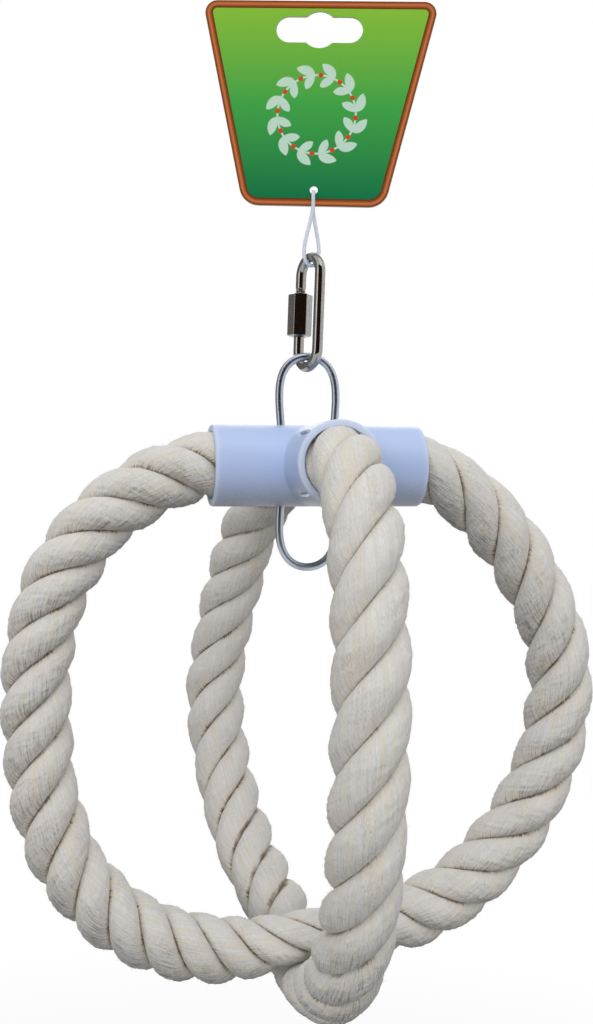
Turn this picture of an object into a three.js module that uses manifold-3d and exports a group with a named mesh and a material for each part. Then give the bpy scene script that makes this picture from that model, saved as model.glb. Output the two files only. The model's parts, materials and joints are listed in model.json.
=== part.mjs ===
// Bird rope ring: two thick cotton rope rings on a plastic pipe cross, hung by a wire eye, a quick link
// and a plastic loop from a header card. Millimetres, +Z up, X nearly along the side sockets, -Y along the
// front socket. The origin is where a display peg bears on the top of the card's slot.
import * as THREE from 'three';
import { mergeVertices } from 'three/addons/utils/BufferGeometryUtils.js';
import Module from 'manifold-3d';

// Gap left between pieces that touch, and how far a cut runs past a face
const fitGap = 0.3;
const cutPast = 1;

// Header card
const cardTopWidth = 88;
const cardBottomWidth = 52.5;
const cardHeight = 76;
const cardThickness = 0.8;
const cardTopRadius = 4.5;
const cardBottomRadius = 7.5;
const cardYaw = THREE.MathUtils.degToRad(-16);
const slotWidth = 32;
const slotHeight = 9.5;
const slotRound = 13.5;
const slotBelowCardTop = 4;
const tagHoleDiameter = 3;
const tagHoleAboveEdge = 6;

// Tag loop
const loopWire = 1.5;
const loopDrop = 27.4;
const loopStandOff = 0.55;
const loopBelowCard = 1.5;
const loopAboveLink = 2.4;

// Quick link
const linkRod = 4;
const linkLength = 44.5;
const linkPitch = 13;
const linkYaw = THREE.MathUtils.degToRad(-70);
const linkGap = 4;
const nutAcrossFlats = 8;
const nutLength = 16;
const nutBelowCentre = 0.5;
const nutGrip = 1.5;

// Hanger wire, a long eye with its legs through the connector
const hangerWire = 3;
const hangerWaist = 9.4;
const hangerBelly = 11;
const hangerRise = 40.4;
const hangerFall = 37.4;
const hangerEndGap = 0.6;

// Cross connector, a pipe cross whose sockets take the rope ends
const pipeOutside = 30;
const socketBore = 25;
const chamberBore = 20.5;
const armLength = 39.3;
const socketDepth = 22;
const hangLineOffset = 3;
const ringLean = THREE.MathUtils.degToRad(-2.1);

// Rope and its end whippings
const ropeDiameter = 25;
const ropeInSocket = 22.8;
const squeezeReach = 12;
const whipLength = 6.4;
const whipThickness = 0.45;
const whipFromEnd = 0.6;
const pressReach = 24;
const pressGap = 2;

// Staples
const stapleCrown = 12;
const stapleLeg = 8;
const stapleThickness = 0.7;
const stapleWidth = 1.2;
const stapleFromRim = 2;
const stapleAngle = THREE.MathUtils.degToRad(45);

// Sides and steps of the faceted rounds
const pipeSides = 32;
const ropeSides = 12;
const ropeSteps = 44;
const wireSides = 8;
const rodSides = 10;
const hangerSteps = 72;
const linkSteps = 60;
const loopSteps = 48;
const hangerHoleSteps = 6;
const centreSteps = 400;
const cardArcSteps = 8;
const nutBoreSides = 16;

// Heights, worked down from the peg's bearing point
const cardTop = slotBelowCardTop;
const cardBottom = cardTop - cardHeight;
const tagHoleHeight = cardBottom + tagHoleAboveEdge;
const loopTop = tagHoleHeight - tagHoleDiameter / 2 + fitGap + loopWire / 2;
const loopBottom = loopTop - loopDrop;
const linkTopRod = loopBottom + loopWire / 2 + fitGap + linkRod / 2;
const linkCentre = linkTopRod + linkRod / 2 - linkLength / 2;
const linkBottomRod = linkCentre - linkLength / 2 + linkRod / 2;
const hangerTop = linkBottomRod + linkRod / 2 + fitGap + hangerWire / 2;
const ropeEnd = armLength - socketDepth + fitGap;

// Rope routes, from the connector's centre, as the ropes hang. Each starts and ends in its sockets,
// and the side ring lies on the front ring where they cross.
const crossingA = [-1, 0, -173];
const crossingB = [-1, 0, -189.5];
const ropeARoute = [
  [-ropeEnd, 0, 0], [-29, 0, 0], [-40.5, 0, 0], [-53.3, 0, -3.6], [-68.2, 0, -11.4], [-82.5, 0, -23.7],
  [-94.2, 0, -42.1], [-100.5, 0, -65.5], [-101.2, 0, -91], [-98.9, 0, -117.1], [-90.8, 0, -141.2], [-76, 0, -160],
  [-54, 0, -172.9], [-28, 0, -177.1], crossingA, [25.8, 0, -171], [50.4, 0, -163.2], [71.4, 0, -146],
  [86.8, 0, -123.3], [95.4, 0, -98], [96.1, 0, -73], [88.2, 0, -49.5], [76.1, 0, -28.8], [62.7, 0, -14.2],
  [50.7, 0, -5.5], [40.5, 0, -0.4], [29, 0, 0], [ropeEnd, 0, 0],
];
const ropeBRoute = [
  [0, -ropeEnd, 0], [0, -29, 0], [0, -40.5, 0], [0, -53, -3.4], [-0.5, -65, -12], [-0.8, -74.5, -26],
  [-1.2, -80.5, -44], [-1.7, -84, -65], [-2.4, -85.5, -88], [-2.7, -84, -110], [-2.7, -78.5, -132],
  [-2.6, -68.5, -152], [-2.3, -54, -168.5], [-2, -36, -180], [-1.7, -18, -187], crossingB, [-3, 21, -185.5],
  [-7, 43, -175.5], [-13.2, 64, -161.5], [-18.3, 81, -143], [-22, 92.5, -120.5],
  [-23.3, 97.5, -96], [-20.1, 96, -70], [-15.6, 90, -46.5], [-11.2, 80, -26.6], [-6.3, 67.5, -11.9],
  [-2, 53.5, -3.2], [0, 40.5, 0], [0, 29, 0], [0, ropeEnd, 0],
];
const ropeACrossing = new THREE.Vector3(...crossingA);
const ropeBCrossing = new THREE.Vector3(...crossingB);

const wasm = await Module();
wasm.setup();

function toSolid(geometry) {
  const bare = geometry.clone();
  bare.deleteAttribute('normal');
  bare.deleteAttribute('uv');
  const merged = mergeVertices(bare, 1e-4);
  return new wasm.Manifold(new wasm.Mesh({
    numProp: 3,
    vertProperties: new Float32Array(merged.attributes.position.array),
    triVerts: new Uint32Array(merged.index.array),
  }));
}

function toGeometry(solid) {
  const mesh = solid.getMesh();
  const geometry = new THREE.BufferGeometry();
  geometry.setAttribute('position', new THREE.BufferAttribute(mesh.vertProperties, 3));
  geometry.setIndex(new THREE.BufferAttribute(mesh.triVerts, 1));
  geometry.computeVertexNormals();
  return geometry;
}

function cut(geometry, tools) {
  let solid = toSolid(geometry);
  for (const tool of tools) solid = solid.subtract(toSolid(tool));
  return toGeometry(solid);
}

function material(colour, roughness, metalness) {
  return new THREE.MeshStandardMaterial({ color: colour, roughness, metalness });
}

function piece(name, geometry, look) {
  const mesh = new THREE.Mesh(geometry, look);
  mesh.name = name;
  return mesh;
}

const looks = {
  card: material('#3c9440', 0.45, 0),
  loop: material('#d4dcee', 0.35, 0),
  link: material('#b9b6b2', 0.22, 1),
  hanger: material('#a3abb6', 0.32, 1),
  pipe: material('#aebfe6', 0.4, 0),
  rope: material('#d3ccbf', 0.95, 0),
  tape: material('#c9b48a', 0.6, 0),
  staple: material('#b4bac8', 0.3, 1),
};

// Radius of the polygon whose flats touch a circle
function circumscribed(radius, sides) {
  return radius / Math.cos(Math.PI / sides);
}

function polygonPoints(radius, sides) {
  const points = [];
  for (let i = 0; i < sides; i += 1) {
    const angle = (2 * Math.PI * i) / sides;
    points.push(new THREE.Vector2(radius * Math.cos(angle), radius * Math.sin(angle)));
  }
  return points;
}

function tube(route, radius, sides, steps) {
  const section = new THREE.Shape(polygonPoints(radius, sides));
  return new THREE.ExtrudeGeometry(section, { steps, extrudePath: route, bevelEnabled: false });
}

// Cylinder along +X from one distance to another
function rodAlongX(radius, from, to, sides) {
  const rod = new THREE.CylinderGeometry(radius, radius, to - from, sides);
  rod.rotateZ(-Math.PI / 2);
  rod.translate((from + to) / 2, 0, 0);
  return rod;
}

function roundedOutline(shape, corners) {
  corners.forEach(([x, y, radius], i) => {
    const corner = new THREE.Vector2(x, y);
    const before = new THREE.Vector2(...corners.at(i - 1).slice(0, 2));
    const after = new THREE.Vector2(...corners[(i + 1) % corners.length].slice(0, 2));
    const toBefore = before.sub(corner).normalize();
    const toAfter = after.sub(corner).normalize();
    const reach = radius / Math.tan(Math.acos(toBefore.dot(toAfter)) / 2);
    const start = corner.clone().addScaledVector(toBefore, reach);
    const end = corner.clone().addScaledVector(toAfter, reach);
    if (i === 0) shape.moveTo(start.x, start.y);
    else shape.lineTo(start.x, start.y);
    shape.quadraticCurveTo(corner.x, corner.y, end.x, end.y);
  });
  shape.closePath();
  return shape;
}

// Hanging slot: a long slot with round ends and a wider round middle, whose top is the origin
function hangingSlot() {
  const middle = -slotRound / 2;
  const end = slotHeight / 2;
  const reach = slotWidth / 2 - end;
  const shoulder = Math.asin(slotHeight / slotRound);
  const slot = new THREE.Path();
  slot.absarc(reach, middle, end, -Math.PI / 2, Math.PI / 2);
  slot.absarc(0, middle, slotRound / 2, shoulder, Math.PI - shoulder);
  slot.absarc(-reach, middle, end, Math.PI / 2, Math.PI * 1.5);
  slot.absarc(0, middle, slotRound / 2, Math.PI + shoulder, 2 * Math.PI - shoulder);
  slot.closePath();
  return slot;
}

// Header card, built facing -Y
function headerCard() {
  const outline = roundedOutline(new THREE.Shape(), [
    [-cardBottomWidth / 2, cardBottom, cardBottomRadius],
    [cardBottomWidth / 2, cardBottom, cardBottomRadius],
    [cardTopWidth / 2, cardTop, cardTopRadius],
    [-cardTopWidth / 2, cardTop, cardTopRadius],
  ]);
  const tagHole = new THREE.Path();
  tagHole.absarc(0, tagHoleHeight, tagHoleDiameter / 2, 0, 2 * Math.PI);
  outline.holes.push(hangingSlot(), tagHole);
  const card = new THREE.ExtrudeGeometry(outline, {
    depth: cardThickness,
    bevelEnabled: false,
    curveSegments: cardArcSteps,
  });
  card.rotateX(Math.PI / 2);
  card.translate(0, cardThickness / 2, 0);
  return card;
}

// Tag loop: through the card's hole, down both faces of the card and under the link's top bend
function tagLoop() {
  const front = new THREE.Vector3(Math.sin(cardYaw), -Math.cos(cardYaw), 0);
  const across = new THREE.Vector3(Math.sin(linkYaw), -Math.cos(linkYaw), 0);
  const atCard = cardThickness / 2 + loopStandOff + loopWire / 2;
  const atLink = linkRod / 2 + fitGap + loopWire / 2;
  const diagonal = Math.SQRT1_2;
  const strand = [
    [front, atCard * diagonal, loopTop - atCard * (1 - diagonal)],
    [front, atCard, loopTop - atCard],
    [front, atCard, cardBottom - loopBelowCard],
    [across, atLink, linkTopRod + linkRod / 2 + loopAboveLink],
    [across, atLink, linkTopRod],
    [across, atLink * diagonal, linkTopRod - atLink * diagonal],
  ];
  const place = ([way, offset, height], side) => way.clone().multiplyScalar(side * offset).setZ(height);
  const route = new THREE.CatmullRomCurve3([
    new THREE.Vector3(0, 0, loopTop),
    ...strand.map((point) => place(point, 1)),
    new THREE.Vector3(0, 0, loopBottom),
    ...strand.map((point) => place(point, -1)).reverse(),
  ], true, 'centripetal');
  return new THREE.TubeGeometry(route, loopSteps, loopWire / 2, wireSides, true);
}

// Quick link: the oval of rod runs from the upper end of the opening round to its lower end
class LinkRoute extends THREE.Curve {
  constructor(upperEnd, lowerEnd) {
    super();
    this.upperEnd = upperEnd;
    this.lowerEnd = lowerEnd;
  }

  getPoint(t, target = new THREE.Vector3()) {
    const bend = linkPitch / 2;
    const straight = linkLength / 2 - linkRod / 2 - bend;
    const arc = Math.PI * bend;
    const stretches = [straight - this.upperEnd, arc, 2 * straight, arc, straight + this.lowerEnd];
    let left = t * stretches.reduce((sum, length) => sum + length, 0);
    let index = 0;
    while (index < stretches.length - 1 && left > stretches[index]) {
      left -= stretches[index];
      index += 1;
    }
    const turn = left / bend;
    if (index === 0) return target.set(-bend, 0, this.upperEnd + left);
    if (index === 1) return target.set(-bend * Math.cos(turn), 0, straight + bend * Math.sin(turn));
    if (index === 2) return target.set(bend, 0, straight - left);
    if (index === 3) return target.set(bend * Math.cos(turn), 0, -straight - bend * Math.sin(turn));
    return target.set(-bend, 0, -straight + left);
  }
}

function quickLinkBody() {
  const lowerEnd = -nutBelowCentre - nutLength / 2 + nutGrip;
  return tube(new LinkRoute(lowerEnd + linkGap, lowerEnd), linkRod / 2, rodSides, linkSteps);
}

function quickLinkNut() {
  const outline = new THREE.Shape(polygonPoints(circumscribed(nutAcrossFlats / 2, 6), 6));
  const boreRadius = circumscribed(linkRod / 2 + fitGap, nutBoreSides);
  outline.holes.push(new THREE.Path(polygonPoints(boreRadius, nutBoreSides).reverse()));
  const nut = new THREE.ExtrudeGeometry(outline, { depth: nutLength, bevelEnabled: false });
  nut.translate(-linkPitch / 2, 0, -nutBelowCentre - nutLength / 2);
  return nut;
}

const hangerHalf = (hangerRise + hangerFall) / 2;

// Hanger wire: its legs stand a waist apart inside the connector and swell to an eye above and below it
class HangerRoute extends THREE.Curve {
  constructor(from, to) {
    super();
    this.from = from;
    this.to = to;
  }

  getPoint(t, target = new THREE.Vector3()) {
    const angle = this.from + t * (this.to - this.from);
    const out = Math.sin(angle) * (hangerWaist + hangerBelly * Math.cos(angle) ** 2);
    const middle = (hangerRise - hangerFall) / 2;
    return target.set(out - hangLineOffset, 0, middle + hangerHalf * Math.cos(angle));
  }
}

function hangerGeometry() {
  const endTurn = hangerEndGap / 2 / hangerHalf;
  const route = new HangerRoute(Math.PI / 2 + endTurn, Math.PI * 2.5 - endTurn);
  return tube(route, hangerWire / 2, wireSides, hangerSteps);
}

// Holes for the four places where the wire crosses the pipe wall
function hangerHoles() {
  const radius = circumscribed(hangerWire / 2 + fitGap, wireSides);
  const wall = pipeOutside / 2;
  const reach = (pipeOutside / 4) / hangerHalf;
  const middle = (hangerRise - hangerFall) / 2;
  const up = Math.acos((wall - middle) / hangerHalf);
  const down = Math.acos((-wall - middle) / hangerHalf);
  return [up, down, 2 * Math.PI - down, 2 * Math.PI - up].map(
    (angle) => tube(new HangerRoute(angle - reach, angle + reach), radius, wireSides, hangerHoleSteps),
  );
}

// The four sockets: the turn about Z from the front socket, and the side that its staples are on
const sockets = [
  { name: 'front', turn: 0, side: -1 },
  { name: 'right', turn: Math.PI / 2, side: 1 },
  { name: 'back', turn: Math.PI, side: -1 },
  { name: 'left', turn: -Math.PI / 2, side: -1 },
];

// A shape built in the front socket is carried to its own socket
function inSocket(geometry, socket) {
  return geometry.rotateZ(socket.turn);
}

// Staples lie along the socket, one above and one below its side
function atStaple(geometry, socket, level) {
  geometry.rotateY(socket.side * (Math.PI / 2 - level * stapleAngle));
  return inSocket(geometry, socket);
}

function staple(socket, level) {
  const top = pipeOutside / 2 + fitGap / 2 + stapleThickness;
  const half = stapleCrown / 2;
  const foot = top - stapleLeg;
  const outline = new THREE.Shape([
    new THREE.Vector2(-half, foot),
    new THREE.Vector2(-half + stapleThickness, foot),
    new THREE.Vector2(-half + stapleThickness, top - stapleThickness),
    new THREE.Vector2(half - stapleThickness, top - stapleThickness),
    new THREE.Vector2(half - stapleThickness, foot),
    new THREE.Vector2(half, foot),
    new THREE.Vector2(half, top),
    new THREE.Vector2(-half, top),
  ]);
  const geometry = new THREE.ExtrudeGeometry(outline, { depth: stapleWidth, bevelEnabled: false });
  geometry.translate(0, 0, -stapleWidth / 2);
  geometry.rotateX(Math.PI / 2);
  geometry.rotateZ(Math.PI / 2);
  geometry.translate(0, -armLength + stapleFromRim + half, 0);
  return atStaple(geometry, socket, level);
}

// Clearance for one staple's two legs, through the pipe wall and into the rope
function stapleHoles(socket, level) {
  const top = pipeOutside / 2 + cutPast;
  const bottom = pipeOutside / 2 + fitGap / 2 + stapleThickness - stapleLeg - fitGap;
  const legPlace = (stapleCrown - stapleThickness) / 2;
  return [-legPlace, legPlace].map((along) => {
    const hole = new THREE.BoxGeometry(stapleWidth + 2 * fitGap, stapleThickness + 2 * fitGap, top - bottom);
    hole.translate(0, -armLength + stapleFromRim + stapleCrown / 2 + along, (top + bottom) / 2);
    return atStaple(hole, socket, level);
  });
}

const levels = [{ name: 'upper', sign: 1 }, { name: 'lower', sign: -1 }];

function holesOf(socket) {
  return levels.flatMap((level) => stapleHoles(socket, level.sign));
}

// Cross connector: two pipes joined, bored to a stop in each arm, with a narrower chamber between
function crossConnector() {
  const alongX = (radius, from, to) => rodAlongX(radius, from, to, pipeSides);
  const alongY = (radius, from, to) => alongX(radius, from, to).rotateZ(Math.PI / 2);
  const outer = pipeOutside / 2;
  const sidePipe = toSolid(alongX(outer, -armLength, armLength));
  const body = sidePipe.add(toSolid(alongY(outer, -armLength, armLength)));
  const chamber = circumscribed(chamberBore / 2, pipeSides);
  const bore = circumscribed(socketBore / 2, pipeSides);
  const stop = armLength - socketDepth;
  const past = armLength + cutPast;
  return cut(toGeometry(body), [
    alongX(chamber, -past, past),
    alongY(chamber, -past, past),
    ...sockets.map((socket) => inSocket(alongY(bore, -past, -stop), socket)),
    ...hangerHoles(),
    ...sockets.flatMap(holesOf),
  ]);
}

// The rope is squeezed where it enters its sockets, and pressed flat where the rings cross
function squeezeRope(geometry, route, crossing) {
  const pressed = (ropeACrossing.z - ropeBCrossing.z - pressGap) / ropeDiameter;
  const centres = route.getSpacedPoints(centreSteps);
  const corner = new THREE.Vector3();
  const position = geometry.attributes.position;
  for (let i = 0; i < position.count; i += 1) {
    corner.fromBufferAttribute(position, i);
    let nearest = centres[0];
    for (const centre of centres) {
      if (centre.distanceToSquared(corner) < nearest.distanceToSquared(corner)) nearest = centre;
    }
    const out = THREE.MathUtils.smoothstep(nearest.length(), armLength, armLength + squeezeReach);
    const width = THREE.MathUtils.lerp(ropeInSocket / ropeDiameter, 1, out);
    const away = nearest.distanceTo(crossing) / pressReach;
    const height = width * (1 - (1 - pressed) * Math.exp(-away * away));
    corner.sub(nearest).multiply(new THREE.Vector3(width, width, height)).add(nearest);
    position.setXYZ(i, ...corner);
  }
  return geometry;
}

// A ring round the front socket's axis
function collar(inner, outer, from, to) {
  const profile = [[inner, from], [outer, from], [outer, to], [inner, to], [inner, from]];
  return new THREE.LatheGeometry(profile.map(([r, y]) => new THREE.Vector2(r, y)), pipeSides);
}

const whipInner = socketBore / 2 - fitGap - whipThickness;
const whipStart = -ropeEnd - whipFromEnd;

function whipping(socket) {
  return inSocket(collar(whipInner, socketBore / 2 - fitGap, whipStart - whipLength, whipStart), socket);
}

function ropeRing(points, crossing, ends) {
  const places = points.map((point) => new THREE.Vector3(...point));
  const route = new THREE.CatmullRomCurve3(places, false, 'centripetal');
  const rope = squeezeRope(tube(route, ropeDiameter / 2, ropeSides, ropeSteps), route, crossing);
  return cut(rope, ends.flatMap(holesOf));
}

const [front, right, back, left] = sockets;

const card = piece('header_card', headerCard(), looks.card);
card.rotation.z = cardYaw;

const link = new THREE.Group();
link.position.z = linkCentre;
link.rotation.z = linkYaw;
link.add(
  piece('quick_link_body', quickLinkBody(), looks.link),
  piece('quick_link_nut', quickLinkNut(), looks.link),
);

const ring = new THREE.Group();
ring.rotation.y = ringLean;
ring.position.set(hangLineOffset, 0, -hangerRise).applyEuler(ring.rotation);
ring.position.z += hangerTop;
ring.add(
  piece('hanger_wire', hangerGeometry(), looks.hanger),
  piece('cross_connector', crossConnector(), looks.pipe),
  piece('rope_ring_side', ropeRing(ropeARoute, ropeACrossing, [left, right]), looks.rope),
  piece('rope_ring_front', ropeRing(ropeBRoute, ropeBCrossing, [front, back]), looks.rope),
);
for (const socket of sockets) {
  ring.add(piece(`rope_end_tape_${socket.name}`, whipping(socket), looks.tape));
  for (const level of levels) {
    ring.add(piece(`staple_${socket.name}_${level.name}`, staple(socket, level.sign), looks.staple));
  }
}

const birdRopeRing = new THREE.Group();
birdRopeRing.add(card, piece('tag_loop', tagLoop(), looks.loop), link, ring);

export default birdRopeRing;
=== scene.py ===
"""Bird rope ring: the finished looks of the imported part.

Two thick cotton rope rings cross in a plastic pipe cross, which hangs by a wire eye, a quick link and
a plastic loop from a printed header card. The file is laid out as an add-on and run as a script.
"""

import json
import math

import bmesh
import bpy
import numpy as np
from bpy.props import FloatProperty, FloatVectorProperty, IntProperty, PointerProperty
from bpy.types import Operator, Panel, PropertyGroup
from mathutils import Matrix, Vector
from mathutils.geometry import tessellate_polygon
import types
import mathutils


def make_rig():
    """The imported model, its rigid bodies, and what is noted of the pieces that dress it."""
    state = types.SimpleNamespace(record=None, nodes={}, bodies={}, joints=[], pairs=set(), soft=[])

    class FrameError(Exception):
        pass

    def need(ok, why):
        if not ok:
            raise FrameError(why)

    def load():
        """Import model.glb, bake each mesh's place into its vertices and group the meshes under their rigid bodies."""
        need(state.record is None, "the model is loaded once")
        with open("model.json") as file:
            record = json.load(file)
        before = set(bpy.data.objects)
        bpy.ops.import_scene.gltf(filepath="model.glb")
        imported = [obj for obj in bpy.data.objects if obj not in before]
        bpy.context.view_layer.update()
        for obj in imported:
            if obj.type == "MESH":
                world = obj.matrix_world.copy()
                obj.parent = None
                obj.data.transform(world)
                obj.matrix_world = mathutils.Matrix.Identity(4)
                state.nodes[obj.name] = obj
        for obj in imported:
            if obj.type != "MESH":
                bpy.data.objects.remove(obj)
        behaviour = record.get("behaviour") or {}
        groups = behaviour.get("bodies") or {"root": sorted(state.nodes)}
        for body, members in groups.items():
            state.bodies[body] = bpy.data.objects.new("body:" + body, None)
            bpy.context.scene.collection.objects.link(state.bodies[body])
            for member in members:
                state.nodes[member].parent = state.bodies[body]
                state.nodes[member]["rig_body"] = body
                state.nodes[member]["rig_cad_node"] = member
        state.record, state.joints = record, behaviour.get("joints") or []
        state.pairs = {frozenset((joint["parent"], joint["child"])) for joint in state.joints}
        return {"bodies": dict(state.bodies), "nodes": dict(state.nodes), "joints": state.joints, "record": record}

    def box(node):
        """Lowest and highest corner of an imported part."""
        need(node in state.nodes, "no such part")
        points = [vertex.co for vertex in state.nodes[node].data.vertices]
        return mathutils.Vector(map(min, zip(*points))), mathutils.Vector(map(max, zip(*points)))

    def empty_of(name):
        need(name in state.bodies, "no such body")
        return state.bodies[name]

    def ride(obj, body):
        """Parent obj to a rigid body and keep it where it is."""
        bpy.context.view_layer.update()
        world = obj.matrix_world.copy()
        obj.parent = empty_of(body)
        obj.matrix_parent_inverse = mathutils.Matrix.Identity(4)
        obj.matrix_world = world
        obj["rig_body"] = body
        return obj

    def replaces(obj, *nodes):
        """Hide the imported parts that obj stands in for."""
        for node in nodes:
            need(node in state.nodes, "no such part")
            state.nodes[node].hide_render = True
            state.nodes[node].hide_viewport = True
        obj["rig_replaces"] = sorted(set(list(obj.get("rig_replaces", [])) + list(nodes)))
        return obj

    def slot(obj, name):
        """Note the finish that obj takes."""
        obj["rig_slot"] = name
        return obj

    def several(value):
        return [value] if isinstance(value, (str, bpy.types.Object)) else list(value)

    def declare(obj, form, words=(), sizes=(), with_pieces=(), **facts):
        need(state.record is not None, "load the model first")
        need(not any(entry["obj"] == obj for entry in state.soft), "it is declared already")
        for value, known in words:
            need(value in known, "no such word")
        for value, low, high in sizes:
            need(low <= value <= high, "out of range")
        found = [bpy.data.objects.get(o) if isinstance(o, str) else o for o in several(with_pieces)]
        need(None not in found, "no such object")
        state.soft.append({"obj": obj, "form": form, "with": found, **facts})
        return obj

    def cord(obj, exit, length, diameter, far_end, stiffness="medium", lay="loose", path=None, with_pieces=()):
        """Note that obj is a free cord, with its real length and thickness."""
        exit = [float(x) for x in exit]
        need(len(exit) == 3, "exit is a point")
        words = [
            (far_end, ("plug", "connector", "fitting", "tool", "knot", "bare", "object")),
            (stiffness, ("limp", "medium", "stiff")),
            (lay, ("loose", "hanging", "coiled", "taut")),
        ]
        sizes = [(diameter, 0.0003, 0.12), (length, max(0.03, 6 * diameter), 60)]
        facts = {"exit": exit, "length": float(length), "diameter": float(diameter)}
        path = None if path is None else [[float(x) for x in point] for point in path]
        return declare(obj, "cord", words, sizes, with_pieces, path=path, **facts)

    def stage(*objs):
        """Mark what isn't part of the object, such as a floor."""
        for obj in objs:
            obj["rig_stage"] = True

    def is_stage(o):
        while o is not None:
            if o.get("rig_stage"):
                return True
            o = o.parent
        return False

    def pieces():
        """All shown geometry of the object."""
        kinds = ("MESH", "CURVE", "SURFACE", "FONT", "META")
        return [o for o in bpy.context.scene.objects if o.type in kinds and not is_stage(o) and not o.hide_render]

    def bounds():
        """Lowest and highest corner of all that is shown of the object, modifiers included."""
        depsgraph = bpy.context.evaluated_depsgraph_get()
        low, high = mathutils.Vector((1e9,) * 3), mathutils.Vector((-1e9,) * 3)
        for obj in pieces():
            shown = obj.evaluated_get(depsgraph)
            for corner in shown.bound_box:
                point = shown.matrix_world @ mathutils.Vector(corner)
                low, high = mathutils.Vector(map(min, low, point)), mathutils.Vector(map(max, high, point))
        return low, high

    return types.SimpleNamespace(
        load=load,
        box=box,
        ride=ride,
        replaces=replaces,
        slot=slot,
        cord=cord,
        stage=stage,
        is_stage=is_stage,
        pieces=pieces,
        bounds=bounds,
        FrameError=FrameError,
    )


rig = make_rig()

bl_info = {
    "name": "Bird Rope Ring",
    "version": (1, 0, 0),
    "blender": (4, 5, 0),
    "location": "3D View > Sidebar > Rope Ring",
    "description": "Builds a hanging bird perch of two crossed cotton rope rings",
    "category": "Add Mesh",
}

MM = 0.001
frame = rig.load()
cad_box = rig.bounds()

# Rope routes in millimetres from the middle of the pipe cross, given as the ropes hang
ROPE_END = 17.6
SIDE_CROSSING = (-1, 0, -173)
FRONT_CROSSING = (-1, 0, -189.5)
SIDE_ROUTE = [
    (-ROPE_END, 0, 0), (-29, 0, 0), (-40.5, 0, 0), (-53.3, 0, -3.6), (-68.2, 0, -11.4), (-82.5, 0, -23.7),
    (-94.2, 0, -42.1), (-100.5, 0, -65.5), (-101.2, 0, -91), (-98.9, 0, -117.1), (-90.8, 0, -141.2),
    (-76, 0, -160), (-54, 0, -172.9), (-28, 0, -177.1), SIDE_CROSSING, (25.8, 0, -171), (50.4, 0, -163.2),
    (71.4, 0, -146), (86.8, 0, -123.3), (95.4, 0, -98), (96.1, 0, -73), (88.2, 0, -49.5), (76.1, 0, -28.8),
    (62.7, 0, -14.2), (50.7, 0, -5.5), (40.5, 0, -0.4), (29, 0, 0), (ROPE_END, 0, 0),
]
FRONT_ROUTE = [
    (0, -ROPE_END, 0), (0, -29, 0), (0, -40.5, 0), (0, -53, -3.4), (-0.5, -65, -12), (-0.8, -74.5, -26),
    (-1.2, -80.5, -44), (-1.7, -84, -65), (-2.4, -85.5, -88), (-2.7, -84, -110), (-2.7, -78.5, -132),
    (-2.6, -68.5, -152), (-2.3, -54, -168.5), (-2, -36, -180), (-1.7, -18, -187), FRONT_CROSSING,
    (-3, 21, -185.5), (-7, 43, -175.5), (-13.2, 64, -161.5), (-18.3, 81, -143), (-22, 92.5, -120.5),
    (-23.3, 97.5, -96), (-20.1, 96, -70), (-15.6, 90, -46.5), (-11.2, 80, -26.6), (-6.3, 67.5, -11.9),
    (-2, 53.5, -3.2), (0, 40.5, 0), (0, 29, 0), (0, ROPE_END, 0),
]
# Lay of each rope, the length in which a strand goes once round, at distances from its start
SIDE_LAY = [(0, 50), (180, 49.5), (245, 42.5), (275, 42), (330, 48.5), (400, 55.5), (575, 57)]
FRONT_LAY = [(0, 57), (300, 57), (575, 56)]
# Lengths in millimetres of the waves in which a strand swells and thins
SWELL_WAVES = (19, 31, 53)
# Millimetres by which the yarn pattern is shifted from strand to strand
STRAND_SHIFT = 7.3

# The four sockets of the pipe cross: the turn from the front one, and the side that its staples are on
SOCKETS = [("front", 0, -1), ("right", 90, 1), ("back", 180, -1), ("left", -90, -1)]
LEVELS = [("upper", 1), ("lower", -1)]


def linear(hex_colour):
    """Linear red, green and blue of an sRGB hex colour."""
    shares = [int(hex_colour[i:i + 2], 16) / 255 for i in (1, 3, 5)]
    return [s / 12.92 if s <= 0.04045 else ((s + 0.055) / 1.055) ** 2.4 for s in shares]


# Settings

def length(name, description, millimetres):
    """A size that a user may change, given here in millimetres and kept in metres."""
    return FloatProperty(
        name=name, description=description, default=millimetres * MM, unit="LENGTH", precision=5
    )


def turn(name, description, degrees):
    """An angle that a user may change."""
    return FloatProperty(name=name, description=description, default=math.radians(degrees), unit="ROTATION")


def amount(name, description, default):
    """A plain number that a user may change."""
    return FloatProperty(name=name, description=description, default=default, precision=3)


def count(name, description, default):
    """A whole number that a user may change."""
    return IntProperty(name=name, description=description, default=default, min=1)


def colour(name, description, hex_colour):
    """A colour that a user may change."""
    return FloatVectorProperty(
        name=name, description=description, default=linear(hex_colour), size=3, subtype="COLOR", min=0, max=1
    )


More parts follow.
